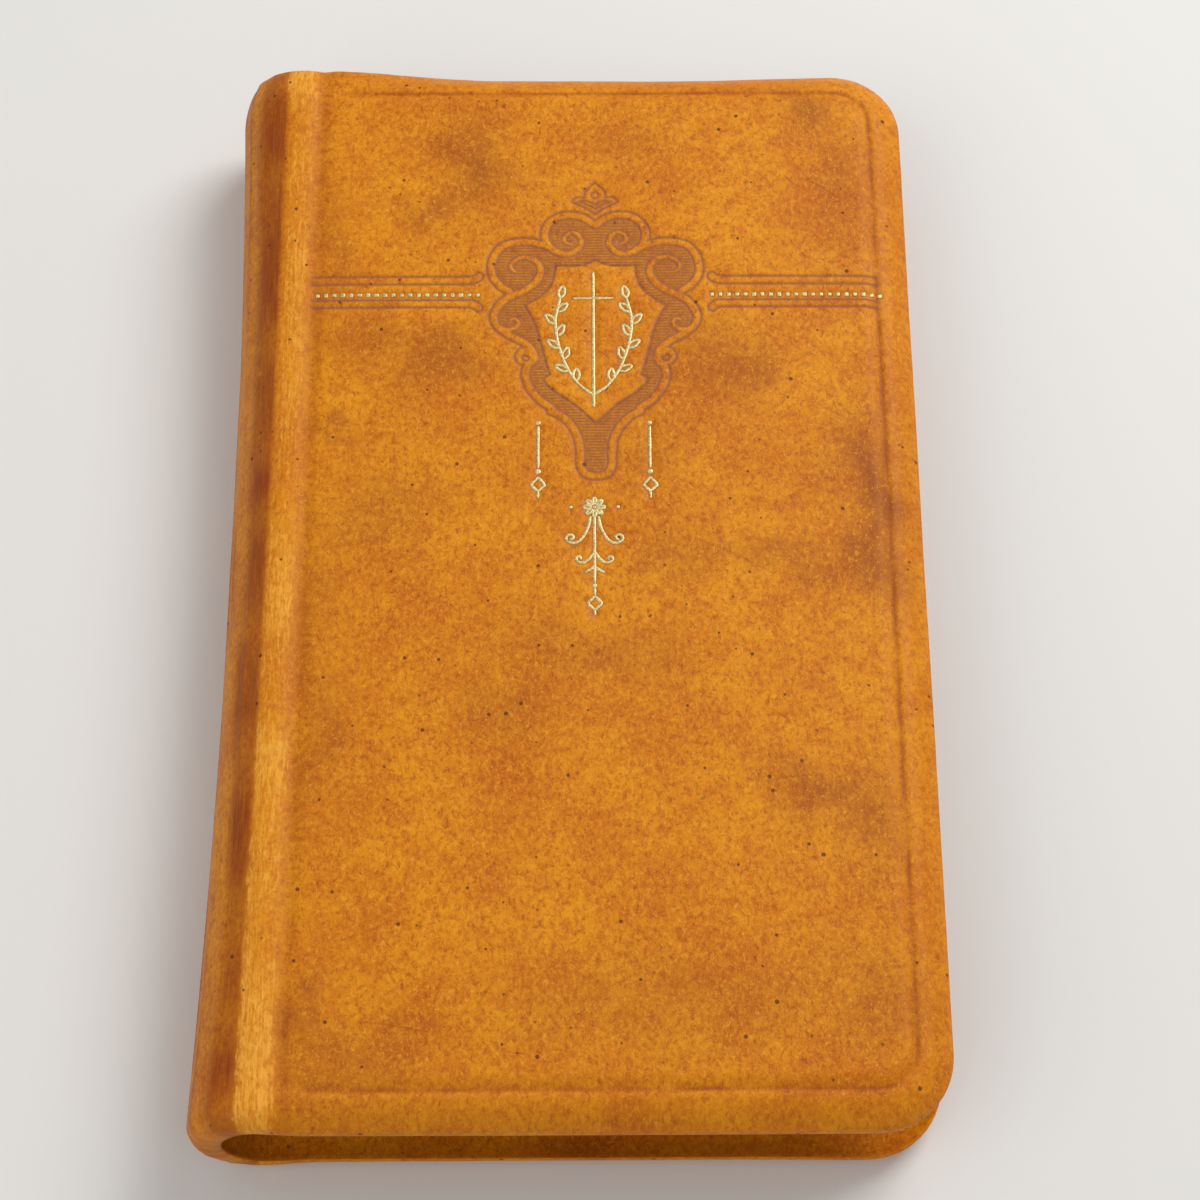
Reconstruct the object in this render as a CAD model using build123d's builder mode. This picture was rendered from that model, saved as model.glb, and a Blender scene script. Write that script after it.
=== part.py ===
from build123d import *
import math
import os

# A small prayer book in a limp leather case: sewn pages with rounded corners, in two flexible
# covers whose soft rims droop over the page edges, and a round leather spine with a hollow back.
#
# It lies on its back cover. +X runs from the spine to the fore-edge, +Y from the tail to the
# head, +Z up through the front cover. The origin is on the table, under the middle of the book.

os.makedirs("parts", exist_ok=True)

# ---- Driving dimensions, in millimetres ----
book_width = 88.0            # spine's roundest line to the tip of the fore-edge rim
book_height = 145.0          # tip of the tail rim to tip of the head rim
book_thickness = 20.0        # closed, over both covers

leather = 0.8                # the hide, as pared for the case
turn_in = 0.5                # the hide's edge, pared thinner and folded inside
turn_in_width = 9.0          # how far it reaches in over a board
board = 0.8                  # flexible card inside each cover
paper = 0.2                  # an endpaper leaf

corner_radius = 9.0          # fore-edge corners of the covers
rim_radius = 5.0             # the soft rim bends down round this
rim_droop = 60.0             # degrees that it has turned by its tip
inner_corner = 1.0           # least rounding of the corners of an outline drawn inside the cover
panel_rise = 0.5             # the boards stand this much proud of the rims
panel_edge = 0.35            # rounding of that step
hinge_strip = 1.6            # bare leather between a hinge and its board

square = 1.4                 # the boards reach this far past the pages
page_corner = 6.5            # fore-edge corners of the pages
page_rounding = 4.0          # depth of the block's round spine and of its hollow fore-edge

pastedown_lap = 4.0          # the pastedown covers this much of the turn-in
inlay = 0.5                  # card strip that stiffens the spine
inlay_short = 9.0            # the strip stops this far short of the spine's ends
hollow = 0.9                 # air between the spine and the back of the pages
spine_turn_in_width = 6.0    # the spine's turn-in reaches this far in over the strip
spine_short = 0.8            # the spine stops this far short of the rims' tips
mull = 0.3                   # open cloth glued over the sewing
mull_short = 9.0             # it stops this far short of the pages' head and tail
band_bead = 1.7              # height and depth of a headband's bead
band_rounding = 0.7          # its rounded edges
band_tape = 0.3              # thickness of the tape that the bead is woven on
band_reach = 7.0             # length of the tape down the back of the pages
slip = 0.2                   # air between card and leather ends at the hinges

# ---- What follows from them ----
spine_wall = leather + inlay + turn_in
spine_bulge = page_rounding + max(mull, band_tape) + hollow + spine_wall
hinge_x = -book_width / 2 + spine_bulge
fore_x = book_width / 2
mid_z = book_thickness / 2
droop = math.radians(rim_droop)
rim_reach = rim_radius * math.sin(droop)
rim_depth = rim_radius * (1 - math.cos(droop))
rim_wall = leather + turn_in
board_inset = rim_reach                     # the rim begins where the board ends
window_inset = board_inset + turn_in_width
lap_inset = window_inset - pastedown_lap
board_x = hinge_x + hinge_strip

rim_z = book_thickness - panel_rise         # outer face of the rim where it leaves the board
board_z = book_thickness - leather          # outer face of the board
glue_z = board_z - board                    # inner face of the board
turned_z = glue_z - turn_in                 # inner face of the turn-in
inside_z = turned_z - paper                 # inner face of the closed cover
pages_z = inside_z - paper                  # top of the page block, under its flyleaf

page_half = book_height / 2 - board_inset - square
page_fore_x = fore_x - board_inset - square
page_depth = 2 * pages_z - book_thickness   # thickness of the page block
page_spine_radius = (page_depth**2 / 4 + page_rounding**2) / (2 * page_rounding)
page_spine_centre = hinge_x - page_rounding + page_spine_radius

spine_radius = (mid_z**2 + spine_bulge**2) / (2 * spine_bulge)
spine_centre = hinge_x - spine_bulge + spine_radius
spine_half = book_height / 2 - spine_short
inlay_half = spine_half - inlay_short
spine_window_half = inlay_half - spine_turn_in_width
mull_half = page_half - mull_short


def draw_cover_plan(inset, start_x=hinge_x):
    """Draws a cover's outline in the open sketch, drawn in by inset on its three free sides."""
    length = fore_x - inset - start_x
    with Locations((start_x + length / 2, 0)):
        Rectangle(length, book_height - 2 * inset)
    fillet(vertices().group_by(Axis.X)[-1], max(corner_radius - inset, inner_corner))


def draw_page_plan():
    """Draws one leaf's outline in the open sketch."""
    length = page_fore_x - hinge_x
    with Locations((hinge_x + length / 2, 0)):
        Rectangle(length, 2 * page_half)
    fillet(vertices().group_by(Axis.X)[-1], page_corner)


def draw_arc_band(centre_x, outer, inner, reach_x, height):
    """Draws a band between two arcs about (centre_x, mid_z) that bulges to -X, and stops at
    reach_x and at the height on each side of the middle."""
    with Locations((centre_x, mid_z)):
        Circle(outer)
        Circle(inner, mode=Mode.SUBTRACT)
    with Locations((reach_x - outer, mid_z)):
        Rectangle(2 * outer, 2 * height, mode=Mode.INTERSECT)


def rim_block(inset, top_z, radius):
    """A thick slab with its three free top edges rounded: the rim's outer or inner skin."""
    overshoot = rim_radius - rim_reach
    with BuildPart(mode=Mode.PRIVATE) as block:
        with BuildSketch(Plane.XY.offset(top_z - 2 * rim_radius)):
            draw_cover_plan(inset - overshoot)
        extrude(amount=2 * rim_radius)
        upper = block.edges().group_by(Axis.Z)[-1]
        fillet(upper.filter_by(lambda edge: edge.center().X > hinge_x + radius), radius)
    return block.part


# ---- The page block ----
with BuildPart() as pages:
    with BuildSketch(Plane.XZ):
        with BuildLine():
            base_z = book_thickness - pages_z
            Line((hinge_x, pages_z), (page_fore_x, pages_z))
            ThreePointArc(
                (page_fore_x, pages_z),
                (page_fore_x - page_rounding, mid_z),
                (page_fore_x, base_z),
            )
            Line((page_fore_x, base_z), (hinge_x, base_z))
            ThreePointArc(
                (hinge_x, base_z),
                (hinge_x - page_rounding, mid_z),
                (hinge_x, pages_z),
            )
        make_face()
    extrude(amount=page_half, both=True)
    hollow_edge = pages.faces().filter_by(GeomType.CYLINDER).sort_by(Axis.X)[-1]
    fillet(hollow_edge.edges().filter_by(GeomType.CIRCLE), page_corner)
pages.part.label = "pages"

with BuildPart() as front_flyleaf:
    with BuildSketch(Plane.XY.offset(pages_z)):
        draw_page_plan()
    extrude(amount=paper)
front_flyleaf.part.label = "front_flyleaf"

with BuildPart() as back_flyleaf:
    mirror(front_flyleaf.part, about=Plane.XY.offset(mid_z))
back_flyleaf.part.label = "back_flyleaf"

with BuildPart() as mull_lining:
    with BuildSketch(Plane.XZ):
        draw_arc_band(
            page_spine_centre,
            page_spine_radius + mull,
            page_spine_radius,
            hinge_x,
            page_depth / 2,
        )
    extrude(amount=mull_half, both=True)
mull_lining.part.label = "mull_lining"

# ---- The headbands: a woven bead on the pages' end, and a tape down their back ----
with BuildPart() as head_band:
    with BuildSketch(Plane.XZ.offset(-page_half)):
        draw_arc_band(
            page_spine_centre,
            page_spine_radius + band_tape,
            page_spine_radius + band_tape - band_bead,
            hinge_x,
            page_depth / 2,
        )
    extrude(amount=-band_bead)
    bead_top = head_band.faces().sort_by(Axis.Y)[-1]
    fillet(bead_top.edges().filter_by(GeomType.CIRCLE), band_rounding)
    with BuildSketch(Plane.XZ.offset(-page_half)):
        draw_arc_band(
            page_spine_centre,
            page_spine_radius + band_tape,
            page_spine_radius,
            hinge_x,
            page_depth / 2,
        )
    extrude(amount=band_reach)
head_band.part.label = "head_band"

with BuildPart() as tail_band:
    mirror(head_band.part, about=Plane.XZ)
tail_band.part.label = "tail_band"

# ---- The spine: leather, turned in round a card strip at both ends ----
with BuildPart() as spine_leather:
    with BuildSketch(Plane.XZ):
        draw_arc_band(spine_centre, spine_radius, spine_radius - spine_wall, hinge_x, mid_z)
    extrude(amount=spine_half, both=True)
    ends = spine_leather.faces().filter_by(Plane.XZ)
    outer_arcs = ends.edges().filter_by(GeomType.CIRCLE).group_by(SortBy.RADIUS)[-1]
    fillet(outer_arcs, leather)
    with BuildSketch(Plane.XZ):
        draw_arc_band(
            spine_centre, spine_radius - leather, spine_radius - leather - inlay, hinge_x, mid_z
        )
    extrude(amount=inlay_half, both=True, mode=Mode.SUBTRACT)
    with BuildSketch(Plane.XZ):
        draw_arc_band(
            spine_centre, spine_radius - leather - inlay, spine_radius - 2 * spine_wall, hinge_x, mid_z
        )
    extrude(amount=spine_window_half, both=True, mode=Mode.SUBTRACT)
spine_leather.part.label = "spine_leather"

with BuildPart() as spine_inlay:
    with BuildSketch(Plane.XZ):
        draw_arc_band(
            spine_centre,
            spine_radius - leather,
            spine_radius - leather - inlay,
            hinge_x - slip,
            mid_z,
        )
    extrude(amount=inlay_half, both=True)
spine_inlay.part.label = "spine_inlay"

# ---- The front cover: leather folded round a flexible board ----
with BuildPart() as front_leather:
    add(rim_block(0, rim_z, rim_radius))
    add(rim_block(rim_wall, rim_z - rim_wall, rim_radius - rim_wall), mode=Mode.SUBTRACT)
    split(bisect_by=Plane.XY.offset(rim_z - rim_depth), keep=Keep.TOP)
    with BuildSketch(Plane.XY.offset(turned_z)):
        draw_cover_plan(board_inset)
    extrude(amount=book_thickness - turned_z)
    raised = front_leather.edges().group_by(Axis.Z)[-1]
    fillet(raised.filter_by(lambda edge: edge.center().X > hinge_x + panel_edge), panel_edge)
    with BuildSketch(Plane.XY.offset(glue_z)):
        draw_cover_plan(board_inset, board_x)
    extrude(amount=board, mode=Mode.SUBTRACT)
    with BuildSketch(Plane.XY.offset(turned_z)):
        draw_cover_plan(window_inset)
    extrude(amount=turn_in, mode=Mode.SUBTRACT)
front_leather.part.label = "front_leather"

with BuildPart() as front_board:
    with BuildSketch(Plane.XY.offset(glue_z)):
        draw_cover_plan(board_inset, board_x)
    extrude(amount=board)
front_board.part.label = "front_board"

with BuildPart() as front_pastedown:
    with BuildSketch(Plane.XY.offset(inside_z)):
        draw_cover_plan(lap_inset, hinge_x + slip)
    extrude(amount=paper)
    with BuildSketch(Plane.XY.offset(inside_z)):
        draw_cover_plan(window_inset, hinge_x + slip)
    extrude(amount=glue_z - inside_z)
    with BuildSketch(Plane.XY.offset(inside_z)):
        draw_cover_plan(window_inset + paper, hinge_x + slip)
    extrude(amount=glue_z - paper - inside_z, mode=Mode.SUBTRACT)
front_pastedown.part.label = "front_pastedown"

# ---- The back cover is the front one turned over ----
with BuildPart() as back_leather:
    mirror(front_leather.part, about=Plane.XY.offset(mid_z))
back_leather.part.label = "back_leather"

with BuildPart() as back_board:
    mirror(front_board.part, about=Plane.XY.offset(mid_z))
back_board.part.label = "back_board"

with BuildPart() as back_pastedown:
    mirror(front_pastedown.part, about=Plane.XY.offset(mid_z))
back_pastedown.part.label = "back_pastedown"

for piece in (
    pages,
    front_flyleaf,
    back_flyleaf,
    mull_lining,
    head_band,
    tail_band,
    spine_leather,
    spine_inlay,
    front_leather,
    front_board,
    front_pastedown,
    back_leather,
    back_board,
    back_pastedown,
):
    export_step(piece.part, f"parts/{piece.part.label}.step")
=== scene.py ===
import math

import bpy
import numpy as np
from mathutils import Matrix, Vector
from mathutils.geometry import delaunay_2d_cdt


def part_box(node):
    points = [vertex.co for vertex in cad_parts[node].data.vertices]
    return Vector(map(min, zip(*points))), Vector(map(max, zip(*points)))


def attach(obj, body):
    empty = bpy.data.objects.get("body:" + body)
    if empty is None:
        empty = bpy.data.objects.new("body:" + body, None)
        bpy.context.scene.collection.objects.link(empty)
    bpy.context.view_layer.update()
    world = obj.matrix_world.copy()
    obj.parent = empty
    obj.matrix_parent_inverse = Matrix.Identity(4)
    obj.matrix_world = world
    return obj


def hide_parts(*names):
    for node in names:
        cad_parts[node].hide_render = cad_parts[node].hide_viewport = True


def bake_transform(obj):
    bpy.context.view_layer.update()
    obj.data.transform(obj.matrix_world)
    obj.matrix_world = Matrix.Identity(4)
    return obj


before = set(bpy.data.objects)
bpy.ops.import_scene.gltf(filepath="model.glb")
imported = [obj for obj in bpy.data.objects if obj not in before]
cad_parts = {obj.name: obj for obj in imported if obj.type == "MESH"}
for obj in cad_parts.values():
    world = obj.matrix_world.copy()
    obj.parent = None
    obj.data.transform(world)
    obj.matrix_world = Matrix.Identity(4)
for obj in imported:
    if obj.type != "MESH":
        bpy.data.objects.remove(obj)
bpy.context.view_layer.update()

# A small prayer book in a limp leather case, tooled and gilt on the front cover.
# All working numbers are millimetres. A mesh is written in metres by make_mesh().
MM = 0.001


# ---- Sizes that come from the frame ----
def node_box(node):
    """Lowest and highest corner of a CAD node, in millimetres."""
    low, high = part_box(node)
    return np.array(low) / MM, np.array(high) / MM


LEATHER_LOW, LEATHER_HIGH = node_box("front_leather")
SPINE_LOW = node_box("spine_leather")[0]
BOARD_HIGH = node_box("front_board")[1]
PAGES_LOW, PAGES_HIGH = node_box("pages")
PASTEDOWN_LOW, PASTEDOWN_HIGH = node_box("front_pastedown")
FLYLEAF_TOP = node_box("front_flyleaf")[1][2]
BAND_LOW, BAND_HIGH = node_box("head_band")

HINGE_X = LEATHER_LOW[0]
TOP_Z = LEATHER_HIGH[2]
MID_Z = TOP_Z / 2
BOARD_INSET = LEATHER_HIGH[0] - BOARD_HIGH[0]      # the rim is as wide as this
COVER_WALL = TOP_Z - PASTEDOWN_LOW[2] - 0.2         # leather, board and turn-in
LAP_INSET = LEATHER_HIGH[0] - PASTEDOWN_HIGH[0]    # the pastedown stops this far in

# ---- The hide ----
EDGE_ROLL = 0.4              # how far the folded edge swells past the skin's outline
FORE_X = LEATHER_HIGH[0] - 0.25
HALF_HEIGHT = LEATHER_HIGH[1] - 0.25
CORNER_RADIUS = 9.0
RIDGE_X = HINGE_X + 1.0      # crest of the worn ridge beside the spine
RIDGE_RISE = 0.25
RIDGE_HALF = 2.4
VALLEY_X = RIDGE_X + 2.7     # shallow valley between the ridge and the board
VALLEY_DEPTH = 0.3
SPINE_REACH = RIDGE_X - SPINE_LOW[0]
SPINE_RUN = 14.3             # length of the hide from the ridge to the middle of the spine
SPINE_WALL = 1.9
SPINE_FLARE = 1.0            # the spine's worn ends stand out this much
SPINE_WAIST = 0.6            # and its middle has sunk this much
RIM_DROP = 2.3               # the soft rims droop this far
RIM_WALL_SHARE = 0.3         # the rim's wall is this much thinner than the boarded part's
SPINE_TAIL_REACH = 2.2       # the spine's tail rolls in over this length
SPINE_HEAD_REACH = 6.0       # its head is worn rounder
SPINE_END_DROP = 1.2
BOARD_ROUNDING = 1.5         # the board's soft edge, seen through the leather
BOARD_STEP = 0.42
CREASE_DEPTH = 0.17
CREASE_HALF = 0.42
WINDOW_INSET = LAP_INSET + 4.0
WINDOW_RISE = 0.3            # the turn-in's own thickness, seen from inside
HEAD_SAG = 0.5               # the head rim droops more in its middle
HEAD_LIFT = 0.72             # and hardly at all beside the spine
# the outer skin has a row of points at each of these distances in from its edge
OUTER_RIM_ROWS = (0.35, 0.8, 1.3, 1.9, 2.5, 3.1, 3.5, 3.75,
                  4.0, 4.18, 4.36, 4.6, 4.9, 5.3, 5.8, 6.4)
SEAM_U = RIDGE_X - SPINE_RUN # where the two halves of the hide meet, behind the spine
SPINE_SEED = 5               # both halves share the spine's chance marks
FRONT_SEED = 11
BACK_SEED = 51

# ---- The page block, the headbands and the endpapers ----
PAGE_ROUNDING = HINGE_X - PAGES_LOW[0]
PAGE_HALF_DEPTH = (PAGES_HIGH[2] - PAGES_LOW[2]) / 2
PAGE_BACK_RADIUS = (PAGE_HALF_DEPTH**2 + PAGE_ROUNDING**2) / (2 * PAGE_ROUNDING)
PAGE_BACK_X = PAGES_LOW[0] + PAGE_BACK_RADIUS
PAGE_CORNER = 6.5
LEAF_COUNT = 84
LEAF_THICKNESS = 0.155
BEAD = BAND_HIGH[1] - PAGES_HIGH[1]
TAPE = 0.3
THREAD = 0.2
PASTEDOWN_THICKNESS = 0.16
FOLD_THICKNESS = 0.03        # the pared joint of the endpaper
FOLD_GAP = 0.1               # between its two halves when the book is shut
FOLD_LAP = 1.4               # it lies this far on to each half of the endpaper
FOLD_SPREAD = 1.8            # and further on the cover's half
FOLD_BEND_X = HINGE_X + 0.3  # where it bends

# ---- The tooling, in millimetres from its own centre ----
TOOLING_X, TOOLING_Y = 3.0, 36.5
GILDING_X = 2.75
RIBBON_HALF = 0.58
RIBBON_TIP_HALF = 0.34
LINE_HALF = 0.17             # half width of an engraved line
LINE_DEPTH = 0.15
HATCH_PITCH = 0.42
HATCH_DEPTH = 0.06
GROUND_DEPTH = 0.05
GILT_HALF = 0.22
GILT_DEPTH = 0.1
STUD_PITCH = 1.09
LEFT_STUDS, LEFT_STUD_X = 20, -15.2
RIGHT_STUDS, RIGHT_STUD_X = 21, 15.1
STUD_SIZE = 0.64


def smooth(low, high, value):
    """0 below low, 1 above high, and an easy curve between them."""
    share = np.clip((value - low) / (high - low), 0, 1)
    return share * share * (3 - 2 * share)


def bump(value, half):
    """A soft hump that is 1 at 0 and near 0 past twice the half width."""
    return np.exp(-((value / half) ** 2))


def drift(u, v, size, seed):
    """Smooth random values from -1 to 1 that change over lengths of about size."""
    table = np.random.default_rng(seed).uniform(-1, 1, (64, 64))
    a, b = u / size + 32, v / size + 32
    i, j = np.floor(a).astype(int), np.floor(b).astype(int)
    s, t = smooth(0, 1, a - i), smooth(0, 1, b - j)
    i, j = i % 63, j % 63
    near = table[i, j] * (1 - s) + table[i + 1, j] * s
    far = table[i, j + 1] * (1 - s) + table[i + 1, j + 1] * s
    return near * (1 - t) + far * t


# ---- Meshes ----
def make_mesh(name, points, faces, material=None, values=None, sharp=()):
    """A smooth-shaded object from points in millimetres, with named values for its points.

    An edge between two of the sharp points keeps a crisp corner.
    """
    mesh = bpy.data.meshes.new(name)
    mesh.from_pydata((np.asarray(points, float) * MM).tolist(), [], faces)
    mesh.polygons.foreach_set("use_smooth", [True] * len(mesh.polygons))
    for key, numbers in (values or {}).items():
        numbers = np.asarray(numbers, np.float32)
        kind, field = ("FLOAT", "value") if numbers.ndim == 1 else ("FLOAT_VECTOR", "vector")
        mesh.attributes.new(key, kind, "POINT").data.foreach_set(field, numbers.ravel())
    if len(sharp):
        ends = np.empty(2 * len(mesh.edges), np.int32)
        mesh.edges.foreach_get("vertices", ends)
        crisp = np.isin(ends.reshape(-1, 2), sharp).all(axis=1)
        mesh.attributes.new("sharp_edge", "BOOLEAN", "EDGE").data.foreach_set("value", crisp)
    if material:
        mesh.materials.append(material)
    obj = bpy.data.objects.new(name, mesh)
    bpy.context.scene.collection.objects.link(obj)
    return obj


def smooth_path(points, step=0.3):
    """Points a step apart on a smooth curve that passes through the given ones."""
    knots = np.asarray(points, float)
    padded = np.vstack([2 * knots[0] - knots[1], knots, 2 * knots[-1] - knots[-2]])
    pieces = []
    for a, b, c, d in zip(padded, padded[1:], padded[2:], padded[3:]):
        t = np.linspace(0, 1, 16, endpoint=False)[:, None]
        pieces.append(
            0.5 * (2 * b + (c - a) * t + (2 * a - 5 * b + 4 * c - d) * t**2
                   + (3 * b - a - 3 * c + d) * t**3)
        )
    return even_path(np.vstack([*pieces, knots[-1:]]), step)


def even_path(points, step=0.3):
    """Points a step apart along straight runs."""
    points = np.asarray(points, float)
    along = np.concatenate([[0], np.cumsum(np.linalg.norm(np.diff(points, axis=0), axis=1))])
    count = max(2, int(round(along[-1] / step)) + 1)
    even = np.linspace(0, along[-1], count)
    return np.column_stack([np.interp(even, along, points[:, k]) for k in (0, 1)])


def mirrored(path):
    return np.asarray(path, float) * (-1, 1)


def distance_to_path(at, path, halves):
    """Distance from each point to the path, less the path's own half width there."""
    best = np.full(len(at), 1e9)
    for a, b, half_a, half_b in zip(path, path[1:], halves, halves[1:]):
        run = b - a
        share = np.clip(((at - a) @ run) / max(run @ run, 1e-12), 0, 1)
        gap = np.linalg.norm(at - a - share[:, None] * run, axis=1)
        best = np.minimum(best, gap - (half_a + (half_b - half_a) * share))
    return best


def inside(at, outline):
    """True for each point that lies inside a closed outline."""
    odd = np.zeros(len(at), bool)
    for a, b in zip(outline, np.roll(outline, -1, axis=0)):
        crosses = (a[1] > at[:, 1]) != (b[1] > at[:, 1])
        rise = b[1] - a[1] if b[1] != a[1] else 1e-12
        odd ^= crosses & (at[:, 0] < (b[0] - a[0]) * (at[:, 1] - a[1]) / rise + a[0])
    return odd


def beside(path, gap):
    """The path moved sideways by gap."""
    run = np.gradient(path, axis=0)
    side = np.column_stack([-run[:, 1], run[:, 0]])
    return path + gap * side / np.maximum(np.linalg.norm(side, axis=1), 1e-9)[:, None]


# ---- The tooled ornament: its left half, mirrored to the right ----
TOP_SCROLL = [(0, 10.4), (-1.5, 11.6), (-3.1, 12.0), (-4.7, 11.8), (-6.0, 10.8), (-6.6, 9.3),
              (-6.3, 7.8), (-5.3, 6.6), (-3.9, 6.1), (-2.5, 6.6), (-1.8, 7.7), (-2.1, 8.9),
              (-3.0, 9.4), (-3.9, 8.9), (-4.0, 8.0), (-3.3, 7.6)]
SIDE_ARC = [(-5.5, 6.9), (-6.9, 7.5), (-8.5, 7.9), (-10.1, 7.9), (-11.9, 7.4), (-13.0, 6.1),
            (-13.5, 4.4), (-13.3, 2.7), (-12.3, 1.3), (-11.0, 0.4)]
SIDE_SCROLL = [(-10.5, 3.4), (-11.0, 4.2), (-10.5, 5.1), (-9.4, 5.6), (-8.3, 5.4), (-7.3, 4.5),
               (-7.1, 3.3), (-7.7, 1.9), (-8.9, 0.8), (-10.3, 0.0), (-11.8, -0.9), (-12.7, -2.1),
               (-13.1, -3.4), (-12.7, -4.7), (-11.6, -5.3), (-10.5, -5.1), (-9.9, -4.4),
               (-10.3, -3.7), (-10.9, -3.8)]
NECK = [(-12.4, -5.0), (-11.1, -6.1), (-9.5, -7.0), (-8.3, -8.1), (-7.9, -9.5), (-8.5, -10.5)]
CURL = [(-8.3, -8.9), (-9.2, -8.4), (-9.9, -9.2), (-9.5, -10.1), (-8.7, -10.2)]
LOBE = [(-8.7, -10.5), (-9.0, -11.9), (-8.5, -13.7), (-7.4, -15.3), (-6.4, -16.2), (-5.4, -16.9)]
STEM = [(-5.7, -17.2), (-4.4, -17.9), (-3.1, -19.3), (-2.3, -21.0), (-2.0, -23.0),
        (-2.0, -24.8), (-1.4, -26.1), (0, -26.5)]
SHIELD_TOP = [(0, 5.2), (-1.2, 4.6), (-2.7, 4.3), (-5.2, 4.4)]
SHIELD_SHOULDER = [(-5.2, 4.4), (-5.3, 2.9), (-5.8, 1.3), (-7.0, -0.2), (-9.1, -1.7)]
SHIELD_SIDE = [(-9.1, -1.7), (-8.1, -3.6), (-7.4, -5.6), (-6.7, -8.6), (-6.1, -11.0), (-5.8, -11.9)]
SHIELD_FOOT = [(-5.8, -11.9), (-6.6, -12.5), (-6.2, -13.4), (-4.8, -14.7), (-3.0, -16.0),
               (-1.5, -17.4), (0, -19.0)]
FINIAL = [(0, 12.1), (-1.2, 13.1), (-3.1, 14.1), (-2.3, 14.8), (-1.4, 14.7), (-1.2, 15.8), (0, 17.0)]
FINIAL_LEAF = [(0, 13.0), (-0.9, 13.6), (-2.1, 14.1), (-1.0, 14.2), (0, 13.6)]
FINIAL_EYE = (0, 15.1)
RULE_INNER, RULE_OUTER = 15.7, 36.5
RULE_PAIRS = ((2.65, 1.5), (-0.85, -1.95))
STUD_ROW_Y = -0.1


def both_sides(path):
    return [path, mirrored(path)]


def half_widths(path, tip_run):
    """Half width of a ribbon that narrows over the last stretch of its spiral."""
    left = np.arange(len(path))[::-1] * 0.3
    return RIBBON_TIP_HALF + (RIBBON_HALF - RIBBON_TIP_HALF) * smooth(0, tip_run, left)


def ribbon_paths():
    """Each ribbon of the frame with its half widths."""
    found = []
    for knots, tip_run in ((TOP_SCROLL, 11), (SIDE_ARC, 0.1), (NECK, 0.1), (CURL, 3), (LOBE, 0.1),
                           (STEM, 0.1)):
        path = smooth_path(knots)
        found += [(side, half_widths(path, tip_run)) for side in both_sides(path)]
    path = smooth_path(SIDE_SCROLL)
    halves = np.minimum(half_widths(path, 7), half_widths(path, 9)[::-1])
    found += [(side, halves) for side in both_sides(path)]
    return found


def shield_outline():
    left = np.vstack([smooth_path(run)[:-1] for run in
                      (SHIELD_TOP, SHIELD_SHOULDER, SHIELD_SIDE, SHIELD_FOOT)])
    return np.vstack([left, mirrored(left[::-1])])


def frame_outline():
    """The closed outer edge of the scroll frame, along the middle of its ribbons."""
    knots = TOP_SCROLL[:7] + SIDE_ARC[1:9] + SIDE_SCROLL[10:14] + NECK[1:] + LOBE[1:] + STEM[1:]
    left = smooth_path(knots)
    return np.vstack([left, mirrored(left[::-1])])


def engraved_lines():
    """Every plain engraved line: rules with their turned-out ends, shield, finial."""
    lines = [np.vstack([shield_outline(), shield_outline()[:1]])]
    for upper, lower in RULE_PAIRS:
        out = 1 if upper > 0 else -1
        far, near = (upper, lower) if upper > 0 else (lower, upper)
        end = smooth_path([(RULE_INNER + 0.7, far), (RULE_INNER, far + 0.25 * out),
                           (RULE_INNER - 0.5, far + 0.65 * out), (RULE_INNER - 1.1, far + 0.3 * out),
                           (RULE_INNER - 0.9, near + 0.6 * out), (RULE_INNER + 0.2, near)], 0.2)
        rule = np.vstack([even_path([(RULE_OUTER, far), (RULE_INNER + 0.7, far)], 0.5), end,
                          even_path([(RULE_INNER + 0.2, near), (RULE_OUTER, near)], 0.5)])
        lines += both_sides(rule)
    lines += both_sides(smooth_path(FINIAL[:3])) + both_sides(smooth_path(FINIAL[2:5]))
    lines += both_sides(smooth_path(FINIAL[4:])) + both_sides(smooth_path(FINIAL_LEAF))
    turn = np.linspace(0, 2 * math.pi, 17)
    lines.append(np.column_stack([0.45 * np.cos(turn), FINIAL_EYE[1] + 0.5 * np.sin(turn)]))
    return lines


# ---- The gilt: a plain cross between two sprigs, pendants and a flower drop ----
SPRIG = [(0, -14.9), (-2.0, -13.2), (-3.6, -10.4), (-4.6, -7.0), (-4.9, -3.8), (-4.3, -0.6)]
PENDANT_X = 7.05
FLOWER_Y = -30.8


def spiral(centre, radius, start_deg, turns):
    """A curl that winds in to its centre, starting at start_deg."""
    turn = np.linspace(0, 1, 24)
    angle = math.radians(start_deg) + turn * turns * 2 * math.pi
    reach = radius * (1 - 0.8 * turn)
    return np.column_stack([centre[0] + reach * np.cos(angle), centre[1] + reach * np.sin(angle)])


def leaf_stroke(root, along, length):
    """A closed narrow leaf that grows from root along a direction in degrees."""
    angle = math.radians(along)
    forward = np.array([math.cos(angle), math.sin(angle)])
    side = np.array([-forward[1], forward[0]])
    swell = np.array([(0, 0), (0.35, 0.2), (0.7, 0.17), (1, 0), (0.7, -0.17), (0.35, -0.2), (0, 0)])
    knots = [np.array(root) + length * (a * forward + b * side) for a, b in swell]
    return smooth_path(knots, 0.25)


def sprig_strokes():
    """One stem with leaves that stand off it in turn, left and right."""
    stem = smooth_path(SPRIG)
    strokes = [stem]
    for order, share in enumerate(np.linspace(0.2, 1.0, 8)):
        at = int(share * (len(stem) - 1))
        run = stem[at] - stem[max(at - 2, 0)]
        heading = math.degrees(math.atan2(run[1], run[0]))
        lean = (38 if order % 2 else -38) if share < 1 else 0
        strokes.append(leaf_stroke(stem[at], heading + lean, 1.9))
    return strokes


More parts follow.
